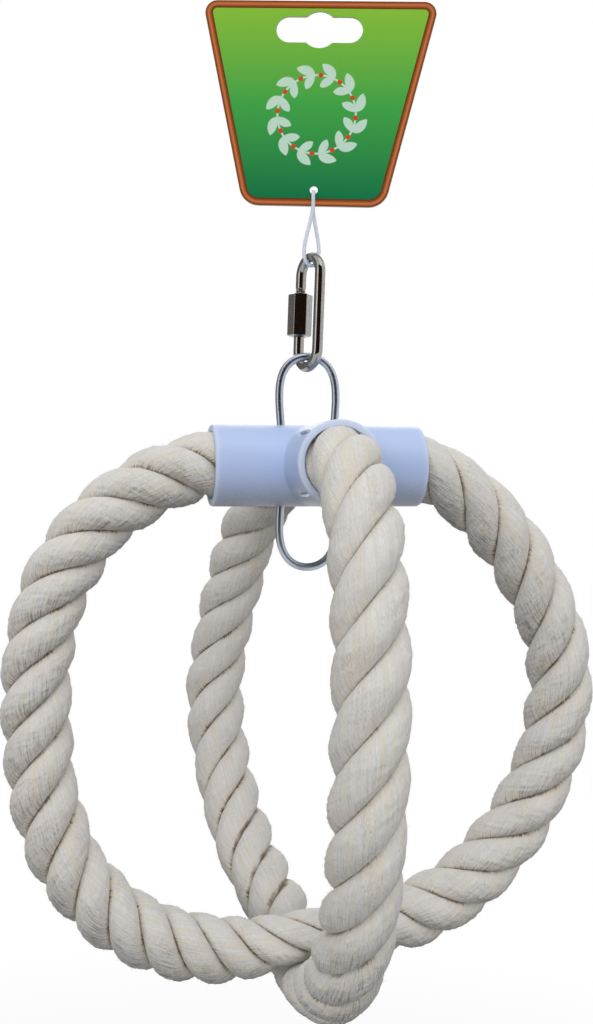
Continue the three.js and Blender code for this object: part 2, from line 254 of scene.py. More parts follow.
class RopeSettings(PropertyGroup):
    """Sizes and colours of the two rope rings."""
    diameter: length("Diameter", "Across the crowns of the strands", 25)
    in_socket: length("In the socket", "Across the rope where a socket squeezes it", 24.4)
    swell_from: length("Swell from", "Distance from the cross's middle where the rope starts to swell", 28)
    swell_to: length("Swell to", "Distance from the cross's middle where the rope is full", 41)
    press_reach: length("Press reach", "Length over which the rings press each other flat", 24)
    press_gap: length("Press gap", "Room left between the rings where they cross", 1.2)
    press_spread: amount("Press spread", "Share by which the rope widens where it is pressed flat", 0.12)
    groove_depth: length("Groove depth", "From a strand's crown down to the groove beside it", 5.4)
    socket_groove: amount("Groove in the socket", "Share of a groove's depth that a socket leaves", 0.4)
    swell: length("Swell", "How much a strand swells and thins along its length", 0.4)
    fluff: length("Fluff", "Unevenness of the cotton's surface", 0.13)
    row_step: length("Row step", "Distance between the rings of the rope's mesh", 0.9)
    strand_columns: count("Strand columns", "Columns of the mesh across one strand", 36)
    side_phase: turn("Side phase", "Turn of the strands where the side ring starts", -43)
    front_phase: turn("Front phase", "Turn of the strands where the front ring starts", 80)
    yarn: length("Yarn spacing", "Distance between the yarns that show on a strand", 1)
    roundness: amount("Strand roundness", "2 gives round strands, and more gives flatter ones", 2.12)
    soiled_to: length("Soiled to", "Height of the front ring's bottom that is soiled throughout", 12)
    clean_from: length("Clean from", "Height above the front ring's bottom where it is clean", 52)
    bottom_soil: amount("Soiled bottom", "Share by which dirt reaches further at that bottom", 0.14)
    # Painted light: the front ring's front is left lighter, with fainter groove marks
    front_clean_and_lit: amount("Clean front", "Share by which the front of the front ring is cleaner", 0.07)
    # Painted light: the front ring sheds the lower sides' painted shade where it stands out
    less_dust_and_shade: amount("Dustless", "Share of its dust that the front ring loses where it stands out", 0.75)
    # How far the painted shade of the lower sides reaches up
    dust_and_shade_reach: amount("Dust reach", "How far dust reaches up past a level side", 0.22)
    fibres: count("Loose fibres", "Loose fibres that stand off each rope", 18000)
    fibre_length: length("Fibre length", "Longest loose fibre", 2)
    fibre_width: length("Fibre width", "Width of a loose fibre, drawn coarse enough to show", 0.11)
    cotton: colour("Cotton", "Yarn on the crown of a strand", "#E7E5E2")
    cotton_shade: colour("Shaded cotton", "Between the yarns", "#D8D5D1")
    cotton_beige: colour("Beige cotton", "Unbleached streaks", "#E2DACB")
    # Dirt and painted shade deep in the grooves
    groove: colour("Groove", "Dirt deep between the strands", "#75604A")
    # Painted shade on the lower sides, broken up like grey dust
    dust_and_shade: colour("Dust", "Grey dust on the lower sides", "#837F7A")


class ConnectorSettings(PropertyGroup):
    """Sizes and colours of the pipe cross."""
    outside: length("Outside", "Outside diameter of each pipe", 30)
    bore: length("Bore", "Bore of each socket", 25)
    chamber: length("Chamber", "Bore between the sockets", 20.5)
    arm: length("Arm", "From the middle of the cross to a rim", 39.3)
    lean: turn("Lean", "How far the rings hang askew, about the front socket's axis", -2.1)
    depth: length("Socket depth", "From a rim to the stop in its socket", 22)
    rim_round: length("Rim round", "Radius of a rim's outer edge", 0.9)
    lead_in: length("Lead-in", "Chamfer at the mouth of a bore", 0.7)
    fillet: length("Fillet", "Radius where two pipes meet", 1.2)
    # Painted light: the paler band at each rim stands for light glowing through the thin plastic
    pale_rim: length("Pale rim", "How far the paler plastic reaches in from a rim", 2.2)
    rim_paleness: amount("Rim paleness", "Share of the paler plastic at a rim", 0.55)
    pale_spot: length("Pale spot", "Radius of the whitened plastic round a staple's leg", 1.8)
    columns: count("Columns", "Columns of the mesh round a pipe", 96)
    rows: count("Rows", "Rows of the mesh along a pipe", 22)
    plastic: colour("Plastic", "Moulded plastic", "#B9CCF2")
    # Painted shade: the grainy grey on the pipes' lower sides
    underside_grey: colour("Scuff", "Dust and scuffs low on the pipes", "#A5A3A2")
    # Paler plastic: a painted glow at the rims, and really whitened plastic round the staples
    pale: colour("Pale", "Plastic at the rims and round the staples", "#DFE6F6")


class StapleSettings(PropertyGroup):
    """Sizes and colour of the staples."""
    crown: length("Crown", "Length of a staple's crown", 12)
    leg: length("Leg", "Length of a staple's legs", 8)
    thickness: length("Thickness", "Thickness of the flat wire", 0.7)
    width: length("Width", "Width of the flat wire", 1.2)
    bend: length("Bend", "Radius at the middle of the wire where a leg turns down", 0.7)
    edge: length("Edge", "Radius of the flat wire's edges", 0.2)
    from_rim: length("From the rim", "From the rim to the nearer leg", 2)
    lift: length("Lift", "From the pipe to the crown's underside", 0.15)
    angle: turn("Angle", "Above or below the side of the socket", 45)
    metal: colour("Metal", "Zinc-coated wire", "#D3D9E4")


class TapeSettings(PropertyGroup):
    """Sizes and colour of the tape wound round each rope end."""
    width: length("Width", "Width of the tape", 6.4)
    inside: length("Inside", "Inner radius of the winding", 11.8)
    thickness: length("Thickness", "Thickness of one turn", 0.12)
    turns: amount("Turns", "Turns of tape", 2.6)
    from_end: length("From the end", "From the rope's end to the tape", 0.6)
    paper: colour("Paper", "Crepe paper", "#C9B48A")


class HangerSettings(PropertyGroup):
    """Sizes and colour of the wire hanger."""
    wire: length("Wire", "Diameter of the wire", 3)
    waist: length("Waist", "From the hanging line to a leg inside the cross", 9.4)
    belly: length("Belly", "How much the legs swell to the eyes", 11)
    rise: length("Rise", "From the cross's middle to the top of the wire's line", 40.4)
    fall: length("Fall", "From the cross's middle to the bottom of the wire's line", 37.4)
    aside: length("Aside", "How far the hanging line stands left of the cross's middle", 3)
    end_gap: length("End gap", "Gap between the wire's ends inside the cross", 0.6)
    hole_play: length("Hole play", "Room round the wire in the pipe's holes", 0.3)
    zinc: colour("Zinc", "Galvanised wire", "#BCC5D1")


class LinkSettings(PropertyGroup):
    """Sizes and colours of the quick link and its nut."""
    rod: length("Rod", "Diameter of the rod", 4)
    height: length("Height", "Outside height of the oval", 44.5)
    pitch: length("Pitch", "Between the middles of the two legs", 13)
    yaw: turn("Yaw", "Turn of the oval about the hanging line", -70)
    gap: length("Gap", "Opening that the nut closes", 4)
    across_flats: length("Across flats", "Width of the nut across its flats", 8)
    nut_height: length("Nut height", "Length of the nut", 16)
    nut_below: length("Nut below", "How far the nut's middle lies below the oval's", 0.5)
    nut_grip: length("Nut grip", "Length of the lower stub in the nut", 1.5)
    nut_bore: length("Nut bore", "Bore of the nut", 4.6)
    nut_round: length("Nut round", "Radius of the nut's long edges", 0.45)
    nut_ring: length("Nut ring", "From the nut's flats in to the ring that stays flat at its ends", 0.25)
    nut_chamfer: turn("Nut chamfer", "Slope of the chamfer outside that ring", 30)
    nut_mouth: length("Nut mouth", "How much the bore widens at the nut's ends", 0.4)
    nut_mouth_depth: length("Nut mouth depth", "Length over which the bore widens", 0.5)
    nut_thread: length("Nut thread", "Depth of the thread in the bore", 0.15)
    thread_pitch: length("Thread pitch", "Rise of one turn of thread", 0.7)
    thread_depth: length("Thread depth", "Depth of the thread", 0.3)
    thread_top: length("Thread top", "How far the thread shows above the nut", 1.9)
    steel: colour("Steel", "Nickel-plated steel", "#A9A7A4")


class LoopSettings(PropertyGroup):
    """Sizes and colour of the plastic loop."""
    strand: length("Strand", "Diameter of the loop's strand", 1.4)
    line_inset: length("Line inset", "From the outside of the loop's solid in to the strand's line", 0.75)
    stand_off: length("Stand-off", "Room between the card and a strand", 0.55)
    below_card: length("Below the card", "Where the strands leave the card's edge", 1.5)
    above_link: length("Above the link", "Where the strands reach the link", 2.4)
    fit: length("Fit", "Room between the loop and the rod it carries", 0.3)
    nylon: colour("Nylon", "Milky nylon", "#D8DFEF")


class CardSettings(PropertyGroup):
    """Sizes and colours of the header card."""
    top_width: length("Top width", "Width at the top", 88)
    bottom_width: length("Bottom width", "Width at the bottom", 52.5)
    height: length("Height", "Height of the card", 76)
    above_peg: length("Above the peg", "From the slot's top to the card's top", 4)
    thickness: length("Thickness", "Thickness of the card", 0.8)
    top_round: length("Top round", "Radius of the upper corners", 4.5)
    bottom_round: length("Bottom round", "Radius of the lower corners", 7.5)
    edge_round: length("Edge round", "Softness of the die-cut edge", 0.12)
    slot_width: length("Slot width", "Width of the hanging slot", 32)
    slot_height: length("Slot height", "Height of the hanging slot", 9.5)
    slot_round: length("Slot round", "Diameter of the slot's round middle", 13.5)
    hole: length("Hole", "Diameter of the punched hole", 3)
    hole_above: length("Hole above", "From the card's lower edge to the hole's middle", 6)
    border: length("Border", "Width of the printed border", 2.9)
    yaw: turn("Yaw", "Turn of the card about the hanging line", -16)
    wreath: length("Wreath", "Radius of the printed leaf wreath", 14.5)
    wreath_below: length("Wreath below", "From the slot's top to the wreath's middle", 38)
    leaf: length("Leaf", "Length of a printed leaf", 6.6)
    leaves: count("Leaves", "Pairs of leaves round the wreath", 12)
    green_top: colour("Upper green", "Print at the top of the card", "#92CB3E")
    green_middle: colour("Middle green", "Print at the middle of the card", "#46AE4C")
    green_bottom: colour("Lower green", "Print at the bottom of the card", "#05744A")
    leaf_ink: colour("Leaf ink", "Printed leaves", "#CFEAD9")
    berry_ink: colour("Berry ink", "Printed berries", "#D2502B")
    copper: colour("Copper", "Printed border", "#A8552B")
    copper_light: colour("Light copper", "Light middle of the border", "#CF8048")
    copper_dark: colour("Dark copper", "Dark edges of the border", "#54250F")
    board: colour("Board", "Back and edges of the card", "#ECEAE4")


class StageSettings(PropertyGroup):
    """Camera, floor and light."""
    azimuth: turn("Azimuth", "Turn of the camera about the hanging line", -12)
    distance: length("Distance", "From the camera to the middle of the pipe cross", 470.4)
    left: length("Left", "How far the camera stands left of the pipe cross", 6.44)
    below: length("Below", "How far the camera stands below the pipe cross", 16.54)
    roll: turn("Roll", "Turn of the camera about its own line of sight", -2.1)
    focal_pixels: amount("Focal length", "In pixels of the picture", 1270)
    picture_height: amount("Picture height", "In pixels", 1024)
    horizon_rise: amount("Horizon rise", "Pixels from the picture's middle up to the horizon", 2)
    floor_drop: length("Floor drop", "From the rings down to the floor", 150)
    floor_radius: length("Floor radius", "Radius of the floor", 4000)
    floor_white: amount("Floor white", "Share of plain white in the floor under the rings", 0.86)
    shadow_reach: length("Shadow reach", "From under the rings to where the floor is plain white", 500)
    cloth: length("Cloth", "Width of each cloth that the metal reflects", 1800)
    cloth_away: length("Cloth away", "From the hanging line to each cloth", 1000)
    cloth_turn: turn("Cloth turn", "Turn from the camera's cloth to the left one", 116)
    ambient: amount("Ambient", "Strength of the light from above", 0.76)
    from_below: amount("From below", "Strength of the light from below", 0.42)
    key: amount("Key", "Watts of the large lamp above and in front", 11)
    side: amount("Side", "Watts of the lamp left of the camera", 12)
    fill: amount("Fill", "Watts of the lamp at the camera", 40)
    back: amount("Back", "Watts of the lamp behind the object", 22)
    paper: colour("Paper", "Floor", "#6C6C6C")
    # Painted reflection: the glow of the cloth behind the camera
    reflected_dark_glow: colour("Velvet", "Cloth behind the camera", "#2C1B13")
    # Painted reflection: the glow of the cloth on the left
    reflected_grey_glow: colour("Felt", "Cloth on the left", "#8A8886")


class RopeRingSettings(PropertyGroup):
    """All the settings of the object."""
    rope: PointerProperty(type=RopeSettings)
    connector: PointerProperty(type=ConnectorSettings)
    staple: PointerProperty(type=StapleSettings)
    tape: PointerProperty(type=TapeSettings)
    hanger: PointerProperty(type=HangerSettings)
    link: PointerProperty(type=LinkSettings)
    loop: PointerProperty(type=LoopSettings)
    card: PointerProperty(type=CardSettings)
    stage: PointerProperty(type=StageSettings)


# Lines and meshes

def smooth_line(points, closed=False, steps=24):
    """Points along the centripetal Catmull-Rom curve through the given points."""
    places = np.array(points, float)
    if closed:
        around = np.vstack([places[-1:], places, places[:2]])
    else:
        around = np.vstack([2 * places[:1] - places[1:2], places, 2 * places[-1:] - places[-2:-1]])
    t = np.linspace(0, 1, steps, endpoint=False)[:, None]
    stretches = []
    for a, b, c, d in zip(around, around[1:], around[2:], around[3:]):
        ab, bc, cd = (math.sqrt(np.linalg.norm(step)) for step in (b - a, c - b, d - c))
        leave = bc * ((b - a) / ab - (c - a) / (ab + bc) + (c - b) / bc)
        reach = bc * ((c - b) / bc - (d - b) / (bc + cd) + (d - c) / cd)
        bend = (2 * t**3 - 3 * t**2 + 1) * b + (3 * t**2 - 2 * t**3) * c
        stretches.append(bend + (t**3 - 2 * t**2 + t) * leave + (t**3 - t**2) * reach)
    if not closed:
        stretches.append(places[-1:])
    return np.vstack(stretches)


def evenly(points, number, closed=False):
    """The same line with its points an even distance apart, and the distance of each from the start."""
    line = np.vstack([points, points[:1]]) if closed else points
    reach = np.concatenate([[0], np.cumsum(np.linalg.norm(np.diff(line, axis=0), axis=1))])
    wanted = np.linspace(0, reach[-1], number, endpoint=not closed)
    return np.column_stack([np.interp(wanted, reach, line[:, axis]) for axis in range(3)]), wanted


def frames_along(points, first, closed=False):
    """Tangent, normal and side of a line at each point, turned as little as it allows."""
    if closed:
        tangents = np.roll(points, -1, axis=0) - np.roll(points, 1, axis=0)
    else:
        tangents = np.gradient(points, axis=0)
    tangents /= np.linalg.norm(tangents, axis=1)[:, None]
    normals = np.empty_like(tangents)
    normal = np.array(first, float)
    for i, tangent in enumerate(tangents):
        normal = normal - normal.dot(tangent) * tangent
        normal /= np.linalg.norm(normal)
        normals[i] = normal
    return tangents, normals, np.cross(tangents, normals)


def grid_faces(rows, columns, closed=False):
    """Quads of a tube's grid of points, numbered row by row. A closed tube's last row joins its first."""
    i = np.arange(rows if closed else rows - 1)[:, None]
    j = np.arange(columns)[None, :]
    after, beside = (i + 1) % rows, (j + 1) % columns
    corners = [i * columns + j, i * columns + beside, after * columns + beside, after * columns + j]
    return np.stack(np.broadcast_arrays(*corners), axis=-1).reshape(-1, 4).tolist()


def sweep(points, section, first, closed=False):
    """Points and faces of a section, given along the normal and side, carried along a line and capped."""
    _, normals, sides = frames_along(points, first, closed)
    section = np.broadcast_to(section, (len(points), *np.shape(section)[-2:]))
    grid = points[:, None] + section[..., :1] * normals[:, None] + section[..., 1:] * sides[:, None]
    rows, columns = grid.shape[:2]
    faces = grid_faces(rows, columns, closed)
    if not closed:
        last = (rows - 1) * columns
        faces.append(list(range(columns))[::-1])
        faces.append(list(range(last, last + columns)))
    return grid.reshape(-1, 3), faces


def circle(radius, sides):
    """Points of a round section."""
    angles = np.linspace(0, 2 * np.pi, sides, endpoint=False)
    return radius * np.column_stack([np.cos(angles), np.sin(angles)])


def corner_parts(corners):
    """Place, radius, way back, way inwards and half angle of each (x, y, radius) corner of a polygon."""
    for i, (x, y, radius) in enumerate(corners):
        corner = Vector((x, y))
        back = (Vector(corners[i - 1][:2]) - corner).normalized()
        onward = (Vector(corners[(i + 1) % len(corners)][:2]) - corner).normalized()
        yield corner, radius, back, (back + onward).normalized(), back.angle(onward) / 2


def rounded(corners, steps=8):
    """Outline of a polygon, given as (x, y, radius) anticlockwise, with a round arc at each corner."""
    outline = []
    for corner, radius, back, inwards, half in corner_parts(corners):
        middle = corner + inwards * (radius / math.sin(half))
        start = corner + back * (radius / math.tan(half)) - middle
        for step in range(steps + 1):
            swing = (math.pi - 2 * half) * step / steps
            outline.append(tuple(middle + Matrix.Rotation(swing, 2) @ start))
    return outline


def inset(corners, distance, least=0.1 * MM):
    """The corners of a polygon moved inwards by a distance, their radii kept in step down to a least."""
    moved = []
    for corner, radius, _, inwards, half in corner_parts(corners):
        place = corner + inwards * (distance / math.sin(half))
        moved.append((place.x, place.y, max(radius - distance, least)))
    return moved


def merged(parts):
    """Several (points, faces) as one."""
    points = []
    faces = []
    for part_points, part_faces in parts:
        start = len(points)
        points.extend(np.asarray(part_points).tolist())
        faces.extend([corner + start for corner in face] for face in part_faces)
    return points, faces


def turned(points, angle):
    """Points turned about the vertical axis."""
    c, s = math.cos(angle), math.sin(angle)
    return np.asarray(points) @ np.array([[c, s, 0], [-s, c, 0], [0, 0, 1]])


def new_mesh(name, points, faces, sharp=40):
    """A mesh shaded smooth, with edges sharper than an angle kept."""
    mesh = bpy.data.meshes.new(name)
    mesh.from_pydata(np.asarray(points).tolist(), [], faces)
    mesh.shade_smooth()
    mesh.set_sharp_from_angle(angle=math.radians(sharp))
    return mesh


def new_piece(mesh, body, slot, nodes, *materials):
    """An object that rides on a body, takes its finish from a slot and stands for some CAD nodes."""
    piece = bpy.data.objects.new(mesh.name, mesh)
    bpy.context.scene.collection.objects.link(piece)
    for material in materials:
        mesh.materials.append(material)
    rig.ride(piece, body)
    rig.slot(piece, slot)
    if nodes:
        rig.replaces(piece, *nodes)
    return piece


def add_values(mesh, name, values):
    """One number for each point of a mesh, for its material to read."""
    layer = mesh.attributes.new(name, "FLOAT", "POINT")
    layer.data.foreach_set("value", np.asarray(values, np.float32).ravel())


def add_map(mesh, name, places):
    """A map of two numbers for each face corner of a mesh."""
    layer = mesh.uv_layers.new(name=name)
    layer.data.foreach_set("uv", np.asarray(places, np.float32).ravel())


def wire_map(mesh, columns):
    """Millimetres round and along a swept wire at each face corner, from the order of its points."""
    points = np.array([vertex.co for vertex in mesh.vertices]) / MM
    rows = len(points) // columns
    grid = points[:rows * columns].reshape(rows, columns, 3)
    middle = grid.mean(axis=1)
    along = np.concatenate([[0], np.cumsum(np.linalg.norm(np.diff(middle, axis=0), axis=1))])
    edge = np.linalg.norm(np.roll(grid[0], -1, axis=0) - grid[0], axis=1)
    around = np.concatenate([[0], np.cumsum(edge)[:-1]])
    index = np.array([loop.vertex_index for loop in mesh.loops])
    return np.column_stack([around[index % columns], along[np.minimum(index // columns, rows - 1)]])


def middle_of(node):
    """Middle of a frame node's box."""
    low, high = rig.box(node)
    return np.array((low + high) / 2)


def on_ring(points):
    """Points given from the middle of the pipe cross, along its sockets, brought to where it hangs askew."""
    lean = Matrix.Rotation(bpy.context.scene.rope_ring.connector.lean, 3, "Y")
    return np.asarray(points) @ np.array(lean).T + middle_of("cross_connector")


# Materials

def add_node(tree, kind, inputs=None, **settings):
    """Adds a node with its settings. An input is a value, or another node's output to link."""
    made = tree.nodes.new(kind)
    for name, value in settings.items():
        setattr(made, name, value)
    for socket, value in (inputs or {}).items():
        if isinstance(value, bpy.types.NodeSocket):
            tree.links.new(value, made.inputs[socket])
        else:
            made.inputs[socket].default_value = value
    return made


def new_material(name):
    """A material and its empty node tree."""
    material = bpy.data.materials.new(name)
    material.use_nodes = True
    material.node_tree.nodes.clear()
    return material, material.node_tree


def finish_material(tree, inputs):
    """Ends a material in the one shader that it uses."""
    shader = add_node(tree, "ShaderNodeBsdfPrincipled", inputs)
    add_node(tree, "ShaderNodeOutputMaterial", {"Surface": shader.outputs[0]})


def opaque(rgb):
    """A colour as a shader socket takes it."""
    return (*rgb, 1)


def toned(rgb, share):
    """A colour made darker or lighter, as a shader socket takes it."""
    return opaque([min(1, share * part) for part in rgb])


def cotton_rope(rope):
    """Unbleached cotton, twisted: fine soft yarns run along the rope, dirt with painted shade darkens the grooves,
    a beige stain, partly painted shade, spreads round it, and painted shade broken up like grey dust lies on the lower
    sides."""
    material, tree = new_material("Unbleached cotton, twisted")
    yarns = add_node(tree, "ShaderNodeUVMap", uv_map="Yarn").outputs[0]
    # Millimetres across and along each pattern: single yarns, streaks of yarn, smudges, short fibres and
    # hairlines. The last two are finer on a real rope, and are drawn coarse enough to show
    grain = {}
    for name, across, along, detail in (
        ("yarn", rope.yarn / MM, 16, 2), ("streak", 2.4, 30, 2), ("smudge", 9, 14, 3),
        ("fibre", 0.5, 1.1, 3), ("hairline", 0.55, 8, 2),
    ):
        scaled = add_node(tree, "ShaderNodeVectorMath", {0: yarns, 1: (1 / across, 1 / along, 1)},
                          operation="MULTIPLY")
        noise = add_node(tree, "ShaderNodeTexNoise", {
            "Vector": scaled.outputs[0], "Scale": 1, "Detail": detail}, noise_dimensions="2D")
        grain[name] = noise.outputs["Fac"]
    for name in ("groove", "under"):
        grain[name] = add_node(tree, "ShaderNodeAttribute", attribute_name=name).outputs["Fac"]
    # Dirt and painted shade run out of the groove in hairlines along the yarns
    grain["ragged"] = add_node(tree, "ShaderNodeMath", {
        0: grain["hairline"], 1: 0.28, 2: grain["groove"]}, operation="MULTIPLY_ADD").outputs[0]
    # What share each pattern gives: where it starts, where it is full, and the least and most of it
    share = {}
    for name, pattern, start, full, least, most in (
        ("between", "yarn", 0.65, 0.35, 0, 0.6), ("short", "fibre", 0.4, 0.7, 0, 0.5),
        ("beige", "streak", 0.47, 0.78, 0, 0.85), ("smudged", "smudge", 0.5, 0.75, 0, 0.5),
        ("scratch_shade", "hairline", 0.51, 0.65, 0, 0.95), ("patchy", "smudge", 0.38, 0.6, 0.05, 1),
        ("stain_and_shade", "groove", 0.5, 1, 0, 0.75), ("dirt_and_shade", "ragged", 1.03, 1.14, 0, 0.95),
    ):
        ranged = add_node(tree, "ShaderNodeMapRange", {
            "Value": grain[pattern], "From Min": start, "From Max": full, "To Min": least, "To Max": most},
            interpolation_type="SMOOTHSTEP" if name == "dirt_and_shade" else "LINEAR")
        share[name] = ranged.outputs[0]
    share["between"] = add_node(tree, "ShaderNodeMath", {
        0: share["between"], 1: share["short"]}, operation="ADD", use_clamp=True).outputs[0]
    # Painted shade on the lower sides, broken up by smudges and short fibres like dust
    share["dusty_shade"] = add_node(tree, "ShaderNodeMath", {
        0: grain["under"], 1: 0.7, 2: share["smudged"]}, operation="MULTIPLY_ADD").outputs[0]
    # Painted shade: the undersides are darkened all over, most where they look straight down
    share["lowest"] = add_node(tree, "ShaderNodeMath", {
        0: grain["under"], 1: 3}, operation="POWER").outputs[0]
    # Grey on the lower sides, in hairlines too, is painted shade; the groove's dirt and stain, partly painted shade,
    # come and go in patches
    for name, times in (
        ("dusty_shade", share["short"]), ("lowest", 0.35), ("scratch_shade", grain["under"]), ("stain_and_shade", share["patchy"]),
        ("dirt_and_shade", share["patchy"]),
    ):
        share[name] = add_node(tree, "ShaderNodeMath", {
            0: share[name], 1: times}, operation="MULTIPLY", use_clamp=True).outputs[0]
    # Laid over each other in turn: shade between the yarns, unbleached streaks, painted shade on the lower sides as
    # dust, all over and in hairlines, then the stain and the dirt of the grooves, both partly painted shade
    base = opaque(rope.cotton)
    for name, tint in (
        ("between", rope.cotton_shade), ("beige", rope.cotton_beige), ("dusty_shade", rope.dust_and_shade),
        ("lowest", rope.dust_and_shade), ("scratch_shade", rope.dust_and_shade), ("stain_and_shade", rope.cotton_beige), ("dirt_and_shade", rope.groove),
    ):
        base = add_node(tree, "ShaderNodeMix", {
            0: share[name], 6: base, 7: opaque(tint)}, data_type="RGBA").outputs[2]
    height = add_node(tree, "ShaderNodeMath", {0: grain["fibre"], 1: 0.6, 2: grain["yarn"]},
                      operation="MULTIPLY_ADD")
    bump = add_node(tree, "ShaderNodeBump", {
        "Height": height.outputs[0], "Strength": 0.75, "Distance": 0.5 * MM})
    finish_material(tree, {
        "Base Color": base, "Roughness": 0.95, "Normal": bump.outputs[0],
        "Specular IOR Level": 0.15, "Sheen Weight": 0.2, "Sheen Roughness": 0.5,
        "Subsurface Weight": 0.45, "Subsurface Radius": (1, 0.9, 0.75), "Subsurface Scale": 2 * MM,
    })
    return material


def cotton_fibre(rope):
    """Loose cotton fibre: pale and dull, its tint changing from place to place."""
    material, tree = new_material("Loose cotton fibre")
    place = add_node(tree, "ShaderNodeTexCoord").outputs["Object"]
    noise = add_node(tree, "ShaderNodeTexNoise", {"Vector": place, "Scale": 1 / (4 * MM)})
    tint = add_node(tree, "ShaderNodeMix", {
        0: noise.outputs["Fac"], 6: opaque(rope.cotton), 7: opaque(rope.cotton_beige)}, data_type="RGBA")
    finish_material(tree, {"Base Color": tint.outputs[2], "Roughness": 0.9, "Specular IOR Level": 0.2})
    return material


def pipe_pvc(connector):
    """PVC, injection moulded: satin and slightly milky, painted paler at the rims as light glowing through the thin
    plastic, whitened where a staple was driven, and with painted grainy grey shade on the lower side."""
    material, tree = new_material("PVC, injection moulded")
    place = add_node(tree, "ShaderNodeTexCoord").outputs["Object"]
    cloud = add_node(tree, "ShaderNodeTexNoise", {"Vector": place, "Scale": 1 / (9 * MM), "Detail": 2})
    grain = add_node(tree, "ShaderNodeTexNoise", {"Vector": place, "Scale": 1 / (0.6 * MM), "Detail": 2})
    under = add_node(tree, "ShaderNodeAttribute", attribute_name="under").outputs["Fac"]
    pale = add_node(tree, "ShaderNodeAttribute", attribute_name="pale").outputs["Fac"]
    # Painted shade: grey on the sides that look down, broken up by a fine grain
    painted_underside = add_node(tree, "ShaderNodeMath", {0: under, 1: grain.outputs["Fac"]}, operation="MULTIPLY")
    painted_underside = add_node(tree, "ShaderNodeMapRange", {
        "Value": painted_underside.outputs[0], "From Min": 0.12, "From Max": 0.62, "To Max": 0.75})
    base = add_node(tree, "ShaderNodeMix", {
        0: painted_underside.outputs[0], 6: opaque(connector.plastic), 7: opaque(connector.underside_grey)}, data_type="RGBA")
    base = add_node(tree, "ShaderNodeMix", {
        0: pale, 6: base.outputs[2], 7: opaque(connector.pale)}, data_type="RGBA")
    rough = add_node(tree, "ShaderNodeMapRange", {
        "Value": cloud.outputs["Fac"], "To Min": 0.3, "To Max": 0.46})
    bump = add_node(tree, "ShaderNodeBump", {
        "Height": cloud.outputs["Fac"], "Strength": 0.25, "Distance": 0.4 * MM})
    finish_material(tree, {
        "Base Color": base.outputs[2], "Roughness": rough.outputs[0], "Normal": bump.outputs[0], "IOR": 1.53,
        "Subsurface Weight": 0.18, "Subsurface Radius": (1.0, 1.1, 1.4), "Subsurface Scale": 2 * MM,
    })
    return material


def metal(name, tint, worn, roughness, along):
    """A plated or drawn metal: fine lines run along the wire, and a faint mottle dulls it. The lines are
    finer on real wire, and are drawn coarse enough to show."""
    material, tree = new_material(name)
    wire = add_node(tree, "ShaderNodeUVMap", uv_map="Wire").outputs[0]
    place = add_node(tree, "ShaderNodeTexCoord").outputs["Object"]
    drawn = add_node(tree, "ShaderNodeVectorMath", {0: wire, 1: (1 / 0.25, 1 / along, 1)},
                     operation="MULTIPLY")
    lines = add_node(tree, "ShaderNodeTexNoise", {"Vector": drawn.outputs[0], "Scale": 1, "Detail": 3},
                     noise_dimensions="2D")
    mottle = add_node(tree, "ShaderNodeTexNoise", {"Vector": place, "Scale": 1 / (1.1 * MM), "Detail": 4})
    mixed = add_node(tree, "ShaderNodeMath", {0: lines.outputs["Fac"], 1: mottle.outputs["Fac"]},
                     operation="MULTIPLY")
    bright = add_node(tree, "ShaderNodeMapRange", {
        "Value": mixed.outputs[0], "From Min": 0.14, "From Max": 0.38})
    base = add_node(tree, "ShaderNodeMix", {
        0: bright.outputs[0], 6: toned(tint, worn), 7: opaque(tint)}, data_type="RGBA")
    rough = add_node(tree, "ShaderNodeMapRange", {
        "Value": mottle.outputs["Fac"], "To Min": roughness * 0.7, "To Max": roughness * 1.4})
    bump = add_node(tree, "ShaderNodeBump", {
        "Height": mixed.outputs[0], "Strength": 0.12, "Distance": 0.04 * MM})
    finish_material(tree, {
        "Base Color": base.outputs[2], "Metallic": 1, "Roughness": rough.outputs[0],
        "Normal": bump.outputs[0],
    })
    return material


def milky_nylon(loop):
    """Nylon, drawn: milky, with a soft gloss and light scattered inside it."""
    material, tree = new_material("Nylon, drawn")
    place = add_node(tree, "ShaderNodeTexCoord").outputs["Object"]
    cloud = add_node(tree, "ShaderNodeTexNoise", {"Vector": place, "Scale": 1 / (1.5 * MM), "Detail": 2})
    tint = add_node(tree, "ShaderNodeMix", {
        0: cloud.outputs["Fac"], 6: opaque(loop.nylon), 7: toned(loop.nylon, 1.12)}, data_type="RGBA")
    rough = add_node(tree, "ShaderNodeMapRange", {
        "Value": cloud.outputs["Fac"], "To Min": 0.3, "To Max": 0.45})
    finish_material(tree, {
        "Base Color": tint.outputs[2], "Roughness": rough.outputs[0], "IOR": 1.53,
        "Subsurface Weight": 0.3, "Subsurface Radius": (1.0, 1.0, 1.1), "Subsurface Scale": 0.8 * MM,
    })
    return material


def crepe_paper(tape):
    """Crepe paper tape: dull, with fine wrinkles across its length."""
    material, tree = new_material("Crepe paper tape")
    wire = add_node(tree, "ShaderNodeUVMap", uv_map="Wire").outputs[0]
    scaled = add_node(tree, "ShaderNodeVectorMath", {0: wire, 1: (1 / 3, 1 / 0.4, 1)}, operation="MULTIPLY")
    wrinkle = add_node(tree, "ShaderNodeTexNoise", {"Vector": scaled.outputs[0], "Scale": 1, "Detail": 3},
                       noise_dimensions="2D")
    tint = add_node(tree, "ShaderNodeMix", {
        0: wrinkle.outputs["Fac"], 6: toned(tape.paper, 0.8), 7: opaque(tape.paper)}, data_type="RGBA")
    bump = add_node(tree, "ShaderNodeBump", {"Height": wrinkle.outputs["Fac"], "Distance": 0.2 * MM})
    finish_material(tree, {"Base Color": tint.outputs[2], "Roughness": 0.8, "Normal": bump.outputs[0]})
    return material


